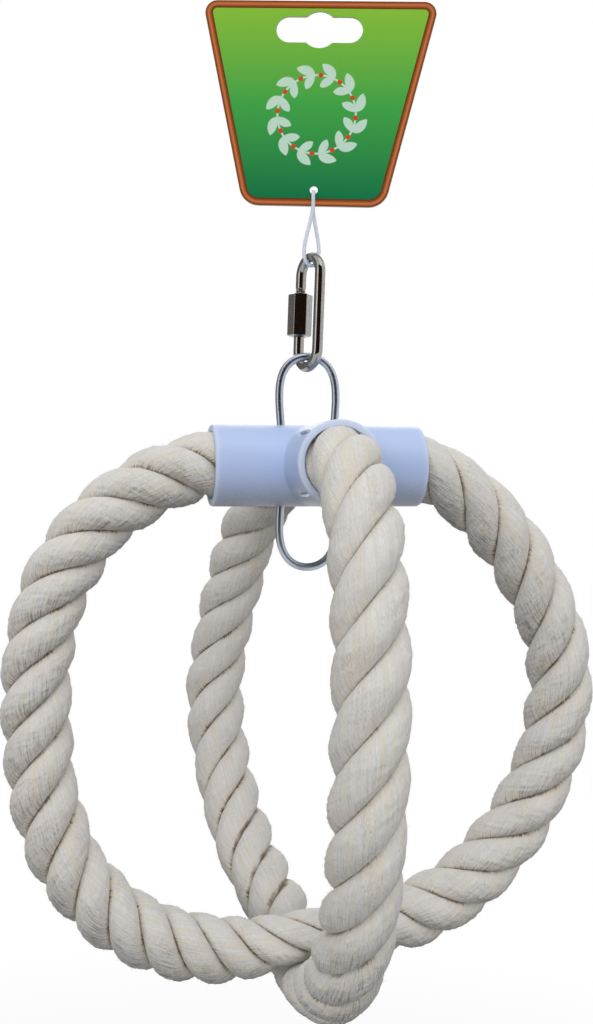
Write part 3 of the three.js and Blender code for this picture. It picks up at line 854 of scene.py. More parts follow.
def varnish(tree, places):
    """The fine grain of a varnished print, half a millimetre wide, and the roughness that it gives."""
    grain = add_node(tree, "ShaderNodeTexNoise", {"Vector": places, "Scale": 1 / 0.5, "Detail": 3},
                     noise_dimensions="2D").outputs["Fac"]
    rough = add_node(tree, "ShaderNodeMapRange", {"Value": grain, "To Min": 0.34, "To Max": 0.5})
    return grain, rough.outputs[0]


def printed_green(card):
    """Coated card, printed and varnished: green that deepens down the card, with a plain leaf wreath."""
    material, tree = new_material("Coated card, printed green")
    print_map = add_node(tree, "ShaderNodeUVMap", uv_map="Print").outputs[0]
    split = add_node(tree, "ShaderNodeSeparateXYZ", {0: print_map})
    down = add_node(tree, "ShaderNodeMapRange", {
        "Value": split.outputs[1], "From Min": card.above_peg / MM,
        "From Max": (card.above_peg - card.height) / MM})
    greens = add_node(tree, "ShaderNodeValToRGB", {0: down.outputs[0]})
    stops = greens.color_ramp.elements
    stops[0].color = opaque(card.green_top)
    stops[1].color = opaque(card.green_bottom)
    stops.new(0.5).color = opaque(card.green_middle)
    # Around the wreath: the angle, cut into equal steps, and the distance from its ring
    from_middle = add_node(tree, "ShaderNodeMath", {0: split.outputs[1], 1: card.wreath_below / MM},
                           operation="ADD").outputs[0]
    angle = add_node(tree, "ShaderNodeMath", {0: from_middle, 1: split.outputs[0]}, operation="ARCTAN2")
    apart = add_node(tree, "ShaderNodeCombineXYZ", {0: split.outputs[0], 1: from_middle})
    away = add_node(tree, "ShaderNodeVectorMath", {0: apart.outputs[0]}, operation="LENGTH")
    ring = card.wreath / MM
    step = 2 * math.pi / card.leaves
    cut = add_node(tree, "ShaderNodeMath", {0: angle.outputs[0], 1: step}, operation="FLOORED_MODULO")
    along = add_node(tree, "ShaderNodeMath", {0: cut.outputs[0], 1: ring, 2: -ring * step / 2},
                     operation="MULTIPLY_ADD")
    off = add_node(tree, "ShaderNodeMath", {0: away.outputs["Value"], 1: ring}, operation="SUBTRACT")
    beside = add_node(tree, "ShaderNodeMath", {0: off.outputs[0]}, operation="ABSOLUTE")
    # A leaf is what two round discs share, leaning away from the ring about its foot
    leaf = card.leaf / MM
    lean = math.radians(38)
    foot_along, foot_off = -0.4 * leaf, 0.2
    disc = 0.62 * leaf
    spread = math.sqrt(disc**2 - (leaf / 2) ** 2)
    edge, ink = 0.1, 0.92
    place = add_node(tree, "ShaderNodeCombineXYZ", {0: along.outputs[0], 1: beside.outputs[0]})
    local = add_node(tree, "ShaderNodeVectorRotate", {
        "Vector": place.outputs[0], "Center": (foot_along, foot_off, 0), "Angle": -lean},
        rotation_type="Z_AXIS")
    discs = []
    for side in (1, -1):
        centre = (foot_along + leaf / 2, foot_off + side * spread, 0)
        discs.append(add_node(tree, "ShaderNodeVectorMath", {0: local.outputs[0], 1: centre},
                              operation="DISTANCE").outputs["Value"])
    shared = add_node(tree, "ShaderNodeMath", {0: discs[0], 1: discs[1]}, operation="MAXIMUM")
    inked = add_node(tree, "ShaderNodeMapRange", {
        "Value": shared.outputs[0], "From Min": disc + edge, "From Max": disc - edge, "To Max": ink})
    stem = add_node(tree, "ShaderNodeMapRange", {
        "Value": beside.outputs[0], "From Min": 0.45, "From Max": 0.3, "To Max": ink})
    inked = add_node(tree, "ShaderNodeMath", {0: inked.outputs[0], 1: stem.outputs[0]}, operation="MAXIMUM")
    # A round berry sits on the stem between two pairs of leaves
    berry = add_node(tree, "ShaderNodeVectorMath", {0: place.outputs[0], 1: (2.7, 0, 0)},
                     operation="DISTANCE")
    berry = add_node(tree, "ShaderNodeMapRange", {
        "Value": berry.outputs["Value"], "From Min": 1.0, "From Max": 0.85})
    base = greens.outputs[0]
    for share, tint in ((inked, card.leaf_ink), (berry, card.berry_ink)):
        base = add_node(tree, "ShaderNodeMix", {
            0: share.outputs[0], 6: base, 7: opaque(tint)}, data_type="RGBA").outputs[2]
    grain, rough = varnish(tree, print_map)
    bump = add_node(tree, "ShaderNodeBump", {"Height": grain, "Strength": 0.3, "Distance": 0.05 * MM})
    finish_material(tree, {
        "Base Color": base, "Roughness": rough, "Normal": bump.outputs[0], "Specular IOR Level": 0.06,
    })
    return material


def printed_border(card):
    """Coated card, printed and varnished: a copper-brown band, light along its middle, dark at the edges."""
    material, tree = new_material("Coated card, printed copper")
    across = add_node(tree, "ShaderNodeUVMap", uv_map="Border").outputs[0]
    split = add_node(tree, "ShaderNodeSeparateXYZ", {0: across})
    width = card.border / MM
    ramp = add_node(tree, "ShaderNodeMapRange", {"Value": split.outputs[0], "From Max": width})
    band = add_node(tree, "ShaderNodeValToRGB", {0: ramp.outputs[0]})
    stops = band.color_ramp.elements
    stops[0].color = opaque(card.copper_dark)
    stops[1].color = opaque(card.copper_dark)
    for at, tint in ((0.2, card.copper), (0.42, card.copper_light), (0.66, card.copper)):
        stops.new(at).color = opaque(tint)
    _, rough = varnish(tree, across)
    finish_material(tree, {"Base Color": band.outputs[0], "Roughness": rough, "Specular IOR Level": 0.06})
    return material


def bare_board(card):
    """Grey-white board, uncoated: dull, with a faint fibre."""
    material, tree = new_material("Card board, uncoated")
    place = add_node(tree, "ShaderNodeTexCoord").outputs["Object"]
    fibre = add_node(tree, "ShaderNodeTexNoise", {"Vector": place, "Scale": 1 / (0.8 * MM), "Detail": 5})
    tint = add_node(tree, "ShaderNodeMix", {
        0: fibre.outputs["Fac"], 6: toned(card.board, 0.82), 7: opaque(card.board)}, data_type="RGBA")
    bump = add_node(tree, "ShaderNodeBump", {
        "Height": fibre.outputs["Fac"], "Strength": 0.3, "Distance": 0.1 * MM})
    finish_material(tree, {"Base Color": tint.outputs[2], "Roughness": 0.85, "Normal": bump.outputs[0]})
    return material


# Stage

def seen_rays(tree):
    """1 for the rays that show the background: from the camera, off gloss and through clear material."""
    rays = add_node(tree, "ShaderNodeLightPath")
    seen = rays.outputs["Is Camera Ray"]
    for kind in ("Is Glossy Ray", "Is Transmission Ray"):
        seen = add_node(tree, "ShaderNodeMath", {0: seen, 1: rays.outputs[kind]},
                        operation="MAXIMUM").outputs[0]
    return seen


class RopeRingStage(Operator):
    """Makes the camera, the lamps, the world and the floor"""
    bl_idname = "rope_ring.stage"
    bl_label = "Stage"

    def execute(self, context):
        stage = context.scene.rope_ring.stage
        self.place_camera(context.scene, stage)
        self.lay_floor(context.scene, stage)
        self.hang_cloths(context.scene, stage)
        self.light(context.scene, stage)
        return {"FINISHED"}

    def place_camera(self, scene, stage):
        data = bpy.data.cameras.new("camera")
        data.lens = data.sensor_width * stage.focal_pixels / stage.picture_height
        data.shift_y = -stage.horizon_rise / stage.picture_height
        data.clip_start = 10 * MM
        camera = bpy.data.objects.new("camera", data)
        ahead = Vector((-math.sin(stage.azimuth), math.cos(stage.azimuth), 0))
        right = Vector((ahead.y, -ahead.x, 0))
        camera.location = Vector(middle_of("cross_connector")) - stage.distance * ahead - stage.left * right
        camera.location.z -= stage.below
        camera.rotation_euler = (math.pi / 2, stage.roll, stage.azimuth)
        scene.collection.objects.link(camera)
        scene.camera = camera

    def lay_floor(self, scene, stage):
        points = [(x, y, 0) for x, y in circle(stage.floor_radius, sides=64)]
        mesh = new_mesh("floor", points, [list(range(len(points)))])
        material, tree = new_material("Studio paper, matt")
        place = add_node(tree, "ShaderNodeTexCoord").outputs["Object"]
        away = add_node(tree, "ShaderNodeVectorMath", {0: place}, operation="LENGTH")
        share = add_node(tree, "ShaderNodeMapRange", {
            "Value": away.outputs["Value"], "From Max": stage.shadow_reach, "To Min": stage.floor_white})
        share = add_node(tree, "ShaderNodeMath", {0: seen_rays(tree), 1: share.outputs[0]},
                         operation="MULTIPLY")
        paper = add_node(tree, "ShaderNodeBsdfDiffuse", {"Color": opaque(stage.paper)})
        white = add_node(tree, "ShaderNodeEmission", {"Color": (1, 1, 1, 1), "Strength": 1})
        mixed = add_node(tree, "ShaderNodeMixShader", {
            0: share.outputs[0], 1: paper.outputs[0], 2: white.outputs[0]})
        add_node(tree, "ShaderNodeOutputMaterial", {"Surface": mixed.outputs[0]})
        mesh.materials.append(material)
        floor = bpy.data.objects.new("floor", mesh)
        floor.location = middle_of("cross_connector")
        floor.location.z = cad_box[0].z - stage.floor_drop
        scene.collection.objects.link(floor)
        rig.stage(floor)

    def hang_cloths(self, scene, stage):
        """A dark cloth behind the camera and a grey one far on the left, which only reflections show; each glows with
        a set colour whatever the lamps, a painted reflection.
        """
        half = stage.cloth / 2
        corners = [(-half, 0, -half), (half, 0, -half), (half, 0, half), (-half, 0, half)]
        for name, fabric, tint, azimuth in (
            ("camera_cloth", "Dark brown glow for reflections", stage.reflected_dark_glow, stage.azimuth),
            ("left_cloth", "Grey glow for reflections", stage.reflected_grey_glow, stage.azimuth - stage.cloth_turn),
        ):
            mesh = new_mesh(name, corners, [[0, 1, 2, 3]])
            material, tree = new_material(fabric)
            # Each cloth glows with its set colour, whatever the lamps: a painted reflection
            plain = add_node(tree, "ShaderNodeEmission", {"Color": opaque(tint), "Strength": 1})
            add_node(tree, "ShaderNodeOutputMaterial", {"Surface": plain.outputs[0]})
            mesh.materials.append(material)
            cloth = bpy.data.objects.new(name, mesh)
            ahead = Vector((-math.sin(azimuth), math.cos(azimuth), 0))
            cloth.location = middle_of("quick_link_body") - stage.cloth_away * np.array(ahead)
            cloth.rotation_euler.z = azimuth
            cloth.visible_camera = False
            cloth.visible_diffuse = False
            cloth.visible_shadow = False
            cloth.visible_transmission = False
            scene.collection.objects.link(cloth)
            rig.stage(cloth)

    def light(self, scene, stage):
        world = bpy.data.worlds.new("studio")
        world.use_nodes = True
        tree = world.node_tree
        tree.nodes.clear()
        way = add_node(tree, "ShaderNodeTexCoord").outputs["Generated"]
        rise = add_node(tree, "ShaderNodeSeparateXYZ", {0: way})
        strength = add_node(tree, "ShaderNodeMapRange", {
            "Value": rise.outputs[2], "From Min": -1, "To Min": stage.from_below, "To Max": stage.ambient})
        soft = add_node(tree, "ShaderNodeBackground", {
            "Color": (1, 1, 1, 1), "Strength": strength.outputs[0]})
        white = add_node(tree, "ShaderNodeBackground", {"Color": (1, 1, 1, 1), "Strength": 1})
        mixed = add_node(tree, "ShaderNodeMixShader", {
            0: seen_rays(tree), 1: soft.outputs[0], 2: white.outputs[0]})
        add_node(tree, "ShaderNodeOutputWorld", {"Surface": mixed.outputs[0]})
        scene.world = world
        scene.view_settings.view_transform = "Standard"
        middle = (cad_box[0] + cad_box[1]) / 2
        # Name, watts, side in metres, and place in metres from the middle of the object
        for name, watts, wide, place in (
            ("key", stage.key, 2.4, (0.4, -1.6, 2.8)),
            ("side", stage.side, 2.4, (-2.4, -2.0, 0.2)),
            ("fill", stage.fill, 1.6, (-0.6, -2.95, -0.1)),
            ("back", stage.back, 2.4, (0.9, 2.7, 1.0)),
        ):
            data = bpy.data.lights.new(name, "AREA")
            data.energy = watts
            data.size = wide
            lamp = bpy.data.objects.new(name, data)
            lamp.visible_glossy = name != "fill"
            lamp.location = middle + Vector(place)
            lamp.rotation_euler = (-Vector(place)).to_track_quat("-Z", "Y").to_euler()
            scene.collection.objects.link(lamp)


# Ropes

def rope_grid(route, lay, crossing, phase, rope, seed):
    """The rope's surface as a grid of points, with its line, the distance along it and each column's place.

    Each column follows a strand. The rope is squeezed in its sockets and pressed flat where the rings cross,
    as its solid is."""
    line = smooth_line(np.array(route) * MM)
    whole = np.linalg.norm(np.diff(line, axis=0), axis=1).sum()
    centres, along = evenly(line, round(whole / rope.row_step))
    _, normals, sides = frames_along(centres, (0, 1, 0) if abs(route[0][1]) < 1 else (1, 0, 0))
    across = np.linspace(-1, 1, rope.strand_columns, endpoint=False) * np.pi / 2
    strand = np.repeat(np.arange(3), rope.strand_columns)
    lobe = np.tile((1 - np.abs(np.sin(across)) ** rope.roundness) ** (1 / rope.roundness), 3)
    place = strand * 2 * np.pi / 3 + np.tile(np.sin(across), 3) * np.pi / 3
    places, lays = np.array(lay).T * MM
    turns = np.cumsum(np.gradient(along) / np.interp(along, places, lays))
    angle = place + phase + 2 * np.pi * turns[:, None]
    # A socket squeezes the rope and closes its grooves
    reach = np.linalg.norm(centres, axis=1) - rope.swell_from
    reach = np.clip(reach / (rope.swell_to - rope.swell_from), 0, 1)
    full = reach**2 * (3 - 2 * reach)
    width = 1 - (1 - rope.in_socket / rope.diameter) * (1 - full)
    depth = rope.groove_depth * (rope.socket_groove + (1 - rope.socket_groove) * full)
    # Each strand swells and thins a little along its length, and its surface is uneven
    random = np.random.default_rng(seed)
    swell = np.zeros((len(centres), 3))
    for wave in SWELL_WAVES:
        swell += np.sin(2 * np.pi * along[:, None] / (wave * MM) + random.uniform(0, 2 * np.pi, 3))
    fluff = random.normal(size=(len(centres), len(place)))
    crown = rope.diameter / 2 - depth[:, None] * (1 - lobe) + rope.swell / 3 * swell[:, strand] * lobe
    crown += rope.fluff * (fluff + np.roll(fluff, 1, axis=0) + np.roll(fluff, 1, axis=1)) / 2
    offset = crown[..., None] * (
        np.cos(angle)[..., None] * normals[:, None] + np.sin(angle)[..., None] * sides[:, None])
    # The rings press each other flat where they cross, and spread sideways there
    gap = (SIDE_CROSSING[2] - FRONT_CROSSING[2]) * MM
    pressed = (gap - rope.press_gap) / rope.diameter
    away = np.linalg.norm(centres - np.array(crossing) * MM, axis=1) / rope.press_reach
    press = np.exp(-away**2)[:, None]
    offset *= width[:, None, None]
    offset[..., :2] *= 1 + rope.press_spread * press[..., None]
    offset[..., 2] *= 1 - (1 - pressed) * press
    return centres[:, None] + offset, centres, along, place, angle


def surface_normals(grid):
    """Outward normals of a tube's grid of points."""
    normals = np.cross(np.roll(grid, -1, axis=1) - np.roll(grid, 1, axis=1), np.gradient(grid, axis=0))
    return normals / np.linalg.norm(normals, axis=2)[..., None]


def loose_fibres(grid, normals, rope, seed):
    """Thin closed spikes that stand off the rope's surface at random places, outside the sockets."""
    random = np.random.default_rng(seed)
    rows, columns = grid.shape[:2]
    socket_rows, spread, least_out, rooted = 25, 0.7, 0.15, 0.1 * MM
    row = random.integers(socket_rows, rows - socket_rows, rope.fibres)
    column = random.integers(0, columns, rope.fibres)
    lean = random.normal(size=(rope.fibres, 3))
    out = normals[row, column]
    way = out * random.uniform(0.25, 1, rope.fibres)[:, None] + spread * lean
    way /= np.linalg.norm(way, axis=1)[:, None]
    # A fibre that leans into the rope is turned back out of it
    way += 2 * np.clip(least_out - np.sum(way * out, axis=1), 0, None)[:, None] * out
    long = rope.fibre_length * random.uniform(0.25, 1, rope.fibres) ** 2
    root = grid[row, column] - rooted * out
    side = np.cross(way, lean)
    side /= np.linalg.norm(side, axis=1)[:, None]
    other = np.cross(way, side)
    corners = [root + rope.fibre_width / 2 * (math.cos(a) * side + math.sin(a) * other)
               for a in (0, 2 * math.pi / 3, 4 * math.pi / 3)]
    points = np.stack([*corners, root + way * long[:, None]], axis=1).reshape(-1, 3)
    base = 4 * np.arange(rope.fibres)[:, None, None]
    faces = base + np.array([[0, 2, 1], [0, 1, 3], [1, 2, 3], [2, 0, 3]])
    return points, faces.reshape(-1, 3).tolist()


class RopeRingRopes(Operator):
    """Makes the two rope rings and their loose fibres"""
    bl_idname = "rope_ring.ropes"
    bl_label = "Rope rings"

    def execute(self, context):
        rope = context.scene.rope_ring.rope
        cotton, fibre = cotton_rope(rope), cotton_fibre(rope)
        for name, route, lay, crossing, phase, seed in (
            ("side", SIDE_ROUTE, SIDE_LAY, SIDE_CROSSING, rope.side_phase, 3),
            ("front", FRONT_ROUTE, FRONT_LAY, FRONT_CROSSING, rope.front_phase, 8),
        ):
            surface = rope_grid(route, lay, crossing, phase, rope, seed)
            self.lay_rope(name, surface, rope, cotton, fibre, seed)
        return {"FINISHED"}

    def lay_rope(self, name, surface, rope, cotton, fibre, seed):
        grid, centres, along, place, angle = surface
        # Above its soiled bottom, the front ring has less of the lower sides' painted shade the further it stands out,
        # and its grooves are lightest in front: less dirt there, and painted light where it faces the lamps
        clean_and_lit, less_dust_and_shade, soiled = np.zeros((3, len(centres)))
        if name == "front":
            height = centres[:, 2] - centres[:, 2].min()
            above = np.clip((height - rope.soiled_to) / (rope.clean_from - rope.soiled_to), 0, 1)
            clean_and_lit = above * np.clip(centres[:, 1] / centres[:, 1].min(), 0, 1)
            less_dust_and_shade = above * np.abs(centres[:, 1]) / np.abs(centres[:, 1]).max()
            soiled = 1 - above
        grid, centres = on_ring(grid), on_ring(centres)
        rows, columns = grid.shape[:2]
        normals = surface_normals(grid)
        points = np.vstack([grid.reshape(-1, 3), centres[:1], centres[-1:]])
        faces = grid_faces(rows, columns)
        ring = np.arange(columns)
        last = (rows - 1) * columns
        first_cap, last_cap = rows * columns, rows * columns + 1
        faces += [[first_cap, (j + 1) % columns, j] for j in ring]
        faces += [[last_cap, last + j, last + (j + 1) % columns] for j in ring]
        mesh = new_mesh(f"{name}_rope", points, faces, sharp=75)
        # Millimetres round and along the rope at each face corner, set apart from strand to strand
        step = np.append(angle, angle[:, :1] + 2 * np.pi, axis=1) * rope.diameter / 2 / MM
        apart = STRAND_SHIFT * (np.arange(columns) // rope.strand_columns)
        round_places = [step[:-1, :-1], step[:-1, 1:], step[1:, 1:], step[1:, :-1]]
        long_places = [along[:-1], along[:-1], along[1:], along[1:]]
        corners = np.stack([
            np.stack([around + apart, np.broadcast_to(reach[:, None] / MM, around.shape)], axis=-1)
            for around, reach in zip(round_places, long_places)], axis=2)
        add_map(mesh, "Yarn", np.vstack([corners.reshape(-1, 2), np.zeros((6 * columns, 2))]))
        strand_place = (place - np.round(place / (2 * np.pi / 3)) * 2 * np.pi / 3) / (np.pi / 3)
        # Groove marks, dirt and painted shade together: fainter on the lit front, reaching further at the soiled
        # bottom
        groove = np.abs(strand_place) * (1 - rope.front_clean_and_lit * clean_and_lit + rope.bottom_soil * soiled)[:, None]
        add_values(mesh, "groove", np.append(groove, [1, 1]))
        # Marks the lower sides for their painted shade
        under = np.clip(rope.dust_and_shade_reach - normals[..., 2], 0, 1)
        under *= (1 - rope.less_dust_and_shade * less_dust_and_shade)[:, None]
        add_values(mesh, "under", np.append(under, [0, 0]))
        piece = new_piece(mesh, "ring", "cotton_rope", [f"rope_ring_{name}"], cotton)
        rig.cord(
            piece, exit=centres[0], length=along[-1], diameter=rope.diameter, far_end="object",
            stiffness="stiff", lay="hanging", path=centres,
        )
        fuzz = new_mesh(f"{name}_rope_fibres", *loose_fibres(grid, normals, rope, seed))
        new_piece(fuzz, "ring", "cotton_rope", [], fibre)


# Pipe cross and what is in it

def hanger_line(hanger, start, end, steps):
    """The wire's line between two angles, from the middle of the pipe cross."""
    angle = np.linspace(start, end, steps)
    out = np.sin(angle) * (hanger.waist + hanger.belly * np.cos(angle) ** 2)
    height = (hanger.rise - hanger.fall) / 2 + (hanger.rise + hanger.fall) / 2 * np.cos(angle)
    return np.column_stack([out - hanger.aside, np.zeros(steps), height])


def pipe_arm(connector):
    """One arm of the pipe cross, along -Y: points from the outer mitre, over the rim, to the inner."""
    outer, bore, chamber = connector.outside / 2, connector.bore / 2, connector.chamber / 2
    angle = np.linspace(0, 2 * np.pi, connector.columns, endpoint=False)
    out, up = np.sin(angle), np.cos(angle)
    beside = np.abs(outer * out)
    # The fillet runs out at the top and bottom, where the pipes meet edge to edge
    fillet = np.minimum(connector.fillet, 0.6 * beside)
    rows = []
    for turn_in in np.linspace(math.pi / 4, 0, 6):
        wide = beside + fillet * (1 - math.cos(turn_in))
        rows.append((np.sign(out) * wide, -beside - fillet * (1 - math.sin(turn_in)), outer * up))
    shoulder = connector.arm - connector.rim_round
    for share in np.linspace(0, 1, connector.rows)[1:]:
        rows.append((outer * out, (1 - share) * -(beside + fillet) - share * shoulder, outer * up))
    profile = []
    for bend in np.linspace(0, math.pi / 2, 6)[1:]:
        profile.append((outer - connector.rim_round * (1 - math.cos(bend)),
                        shoulder + connector.rim_round * math.sin(bend)))
    # Over the mouth's softened chamfer, along the bore to its stop, and into the chamber
    soft, stop = 0.3 * connector.lead_in, connector.arm - connector.depth
    profile += [
        (bore + connector.lead_in, connector.arm), (bore + soft, connector.arm - soft),
        (bore, connector.arm - connector.lead_in), (bore, connector.arm - 4 * MM),
        (bore, connector.arm - 12 * MM), (bore, stop), (chamber, stop),
    ]
    rows += [(radius * out, np.full_like(out, -reach), radius * up) for radius, reach in profile]
    rows.append((chamber * out, -np.abs(chamber * out), chamber * up))
    return np.stack([np.stack(row, axis=-1) for row in rows])


def staple_way(staple, side, level):
    """Direction from the front socket's axis to a staple."""
    angle = side * (math.pi / 2 - level * staple.angle)
    return np.array([math.sin(angle), 0, math.cos(angle)])


class RopeRingConnector(Operator):
    """Makes the pipe cross, with the holes that its wire passes through"""
    bl_idname = "rope_ring.connector"
    bl_label = "Pipe cross"

    def execute(self, context):
        settings = context.scene.rope_ring
        connector = settings.connector
        arm = pipe_arm(connector)
        faces = [face[::-1] for face in grid_faces(*arm.shape[:2])]
        points, faces = merged(
            (turned(arm.reshape(-1, 3), math.radians(angle)), faces) for _, angle, _ in SOCKETS)
        shape = bmesh.new()
        corners = [shape.verts.new(point) for point in points]
        shape.verts.ensure_lookup_table()
        for face in faces:
            shape.faces.new([corners[i] for i in face])
        bmesh.ops.remove_doubles(shape, verts=shape.verts, dist=0.001 * MM)
        bmesh.ops.recalc_face_normals(shape, faces=shape.faces)
        whole = bpy.data.meshes.new("pipe_cross_whole")
        shape.to_mesh(whole)
        shape.free()
        mesh = self.drill(context, whole, settings.hanger)
        self.mark_shade_and_pale(mesh, settings)
        points = on_ring([vertex.co for vertex in mesh.vertices])
        mesh.vertices.foreach_set("co", points.ravel())
        new_piece(mesh, "ring", "pipe_pvc", ["cross_connector"], pipe_pvc(connector))
        return {"FINISHED"}

    def drill(self, context, whole, hanger):
        """The cross with the four holes of the hanger's wire cut through its wall."""
        radius = context.scene.rope_ring.connector.outside / 2
        middle, half = (hanger.rise - hanger.fall) / 2, (hanger.rise + hanger.fall) / 2
        up, down = math.acos((radius - middle) / half), math.acos((-radius - middle) / half)
        section = circle(hanger.wire / 2 + hanger.hole_play, sides=24)
        # Each drill follows the wire's line a little way past both sides of the wall
        past = 0.19
        drills = merged(
            sweep(hanger_line(hanger, angle - past, angle + past, steps=8), section, (0, 1, 0))
            for angle in (up, down, 2 * math.pi - down, 2 * math.pi - up))
        cutter = bpy.data.objects.new("drills", new_mesh("drills", *drills))
        cross = bpy.data.objects.new("pipe_cross_whole", whole)
        for made in (cutter, cross):
            context.scene.collection.objects.link(made)
        cutting = cross.modifiers.new("holes", "BOOLEAN")
        cutting.operation = "DIFFERENCE"
        cutting.solver = "EXACT"
        cutting.object = cutter
        context.view_layer.update()
        drilled = cross.evaluated_get(context.evaluated_depsgraph_get())
        mesh = bpy.data.meshes.new_from_object(drilled)
        mesh.name = "pipe_cross"
        for made in (cutter, cross):
            data = made.data
            bpy.data.objects.remove(made)
            bpy.data.meshes.remove(data)
        mesh.materials.clear()
        mesh.shade_smooth()
        mesh.set_sharp_from_angle(angle=math.radians(38))
        return mesh

    def mark_shade_and_pale(self, mesh, settings):
        """Marks where the pipe looks down, for its painted shade, and where it is paler: a painted glow at its rims,
        and whitened plastic round the staples.
        """
        points = np.array([vertex.co for vertex in mesh.vertices])
        normals = np.array([vertex.normal for vertex in mesh.vertices])
        add_values(mesh, "under", np.clip(-normals[:, 2], 0, 1))
        staple, connector = settings.staple, settings.connector
        # The paler band at the rims is painted light, a glow through the thin plastic
        to_rim = connector.arm - np.abs(points[:, :2]).max(axis=1)
        pale = connector.rim_paleness * np.clip(1 - to_rim / connector.pale_rim, 0, 1)
        for _, angle, side in SOCKETS:
            for _, level in LEVELS:
                for leg in (0, staple.crown):
                    spot = staple_way(staple, side, level) * connector.outside / 2
                    spot[1] = -connector.arm + staple.from_rim + leg
                    spot = turned(spot, math.radians(angle))
                    near = np.linalg.norm(points - spot, axis=1) / connector.pale_spot
                    pale = np.maximum(pale, np.exp(-near**2))
        add_values(mesh, "pale", pale)


class RopeRingStaples(Operator):
    """Makes the eight staples that pin the rope ends"""
    bl_idname = "rope_ring.staples"
    bl_label = "Staples"

    def execute(self, context):
        settings = context.scene.rope_ring
        staple = settings.staple
        wire = metal("Steel wire, zinc coated", staple.metal, worn=0.75, roughness=0.5, along=4)
        half = (staple.crown - staple.thickness) / 2
        top = settings.connector.outside / 2 + staple.lift + staple.thickness / 2
        foot = top + staple.thickness / 2 - staple.leg
        # Along the socket and out from its axis: up one leg, over the crown and down the other
        arc = [(half - staple.bend * (1 - math.sin(a)), top - staple.bend * (1 - math.cos(a)))
               for a in np.linspace(math.pi / 2, 0, 7)]
        leg = [(half, foot), *arc]
        profile = [*leg, *[(-x, y) for x, y in leg[::-1]]]
        section = np.array(rounded([
            (x * staple.width / 2, y * staple.thickness / 2, staple.edge)
            for x, y in ((-1, -1), (1, -1), (1, 1), (-1, 1))], steps=3))
        start = -settings.connector.arm + staple.from_rim + staple.crown / 2
        for socket, angle, side in SOCKETS:
            for name, level in LEVELS:
                way = staple_way(staple, side, level)
                line = np.array([(0, start + along, 0) + out * way for along, out in profile])
                points, faces = sweep(line, section, np.cross(way, (0, 1, 0)))
                points = on_ring(turned(points, math.radians(angle)))
                mesh = new_mesh(f"pin_{socket}_{name}", points, faces)
                add_map(mesh, "Wire", wire_map(mesh, len(section)))
                new_piece(mesh, "ring", "staple_wire", [f"staple_{socket}_{name}"], wire)
        return {"FINISHED"}


class RopeRingTapes(Operator):
    """Winds the tape round the four rope ends"""
    bl_idname = "rope_ring.tapes"
    bl_label = "Rope end tapes"

    def execute(self, context):
        tape = context.scene.rope_ring.tape
        paper = crepe_paper(tape)
        angle = np.linspace(0, 2 * math.pi * tape.turns, round(40 * tape.turns))
        radius = tape.inside + tape.thickness * (0.5 + angle / (2 * math.pi))
        reach = -ROPE_END * MM - tape.from_end - tape.width / 2
        line = np.column_stack([radius * np.sin(angle), np.full_like(angle, reach), radius * np.cos(angle)])
        # A little thinner than the winding's pitch, so that the turns stay apart
        half, thin = tape.width / 2, 0.45 * tape.thickness
        section = np.array([(-half, -thin), (half, -thin), (half, thin), (-half, thin)])
        points, faces = sweep(line, section, (0, 1, 0))
        for socket, degrees, _ in SOCKETS:
            placed = on_ring(turned(points, math.radians(degrees)))
            mesh = new_mesh(f"wound_tape_{socket}", placed, faces)
            add_map(mesh, "Wire", wire_map(mesh, len(section)))
            new_piece(mesh, "ring", "end_tape", [f"rope_end_tape_{socket}"], paper)
        return {"FINISHED"}


class RopeRingHanger(Operator):
    """Bends the wire hanger"""
    bl_idname = "rope_ring.hanger"
    bl_label = "Wire hanger"

    def execute(self, context):
        hanger = context.scene.rope_ring.hanger
        short = hanger.end_gap / (hanger.rise + hanger.fall)
        line = hanger_line(hanger, math.pi / 2 + short, 2.5 * math.pi - short, steps=600)
        line, _ = evenly(line, number=260)
        section = circle(hanger.wire / 2, sides=24)
        points, faces = sweep(line, section, (0, 1, 0))
        mesh = new_mesh("wire_hanger", on_ring(points), faces)
        add_map(mesh, "Wire", wire_map(mesh, len(section)))
        zinc = metal("Steel wire, galvanised", hanger.zinc, worn=0.85, roughness=0.3, along=9)
        new_piece(mesh, "ring", "galvanised_wire", ["hanger_wire"], zinc)
        return {"FINISHED"}


# Quick link

def link_line(link, upper_end, lower_end, step):
    """The link's line in its own upright plane, from the upper end of its opening round to the lower."""
    bend = link.pitch / 2
    straight = link.height / 2 - link.rod / 2 - bend
    half_turn = np.linspace(0, math.pi, 48)
    over = [(-bend * math.cos(a), 0, straight + bend * math.sin(a)) for a in half_turn]
    under = [(bend * math.cos(a), 0, -straight - bend * math.sin(a)) for a in half_turn]
    line = np.array([(-bend, 0, upper_end), *over, *under, (-bend, 0, lower_end)])
    whole = np.linalg.norm(np.diff(line, axis=0), axis=1).sum()
    return evenly(line, round(whole / step))[0]


def thread_wave(link, height, angle):
    """The thread's form at a height and an angle round the leg: 1 where the rod is cut deepest."""
    return 0.5 + 0.5 * np.cos(2 * np.pi * height / link.thread_pitch - angle)


def on_link(link, points):
    """Points of the link's own upright plane brought to where it hangs."""
    return turned(points, link.yaw) + middle_of("quick_link_body") * (0, 0, 1)


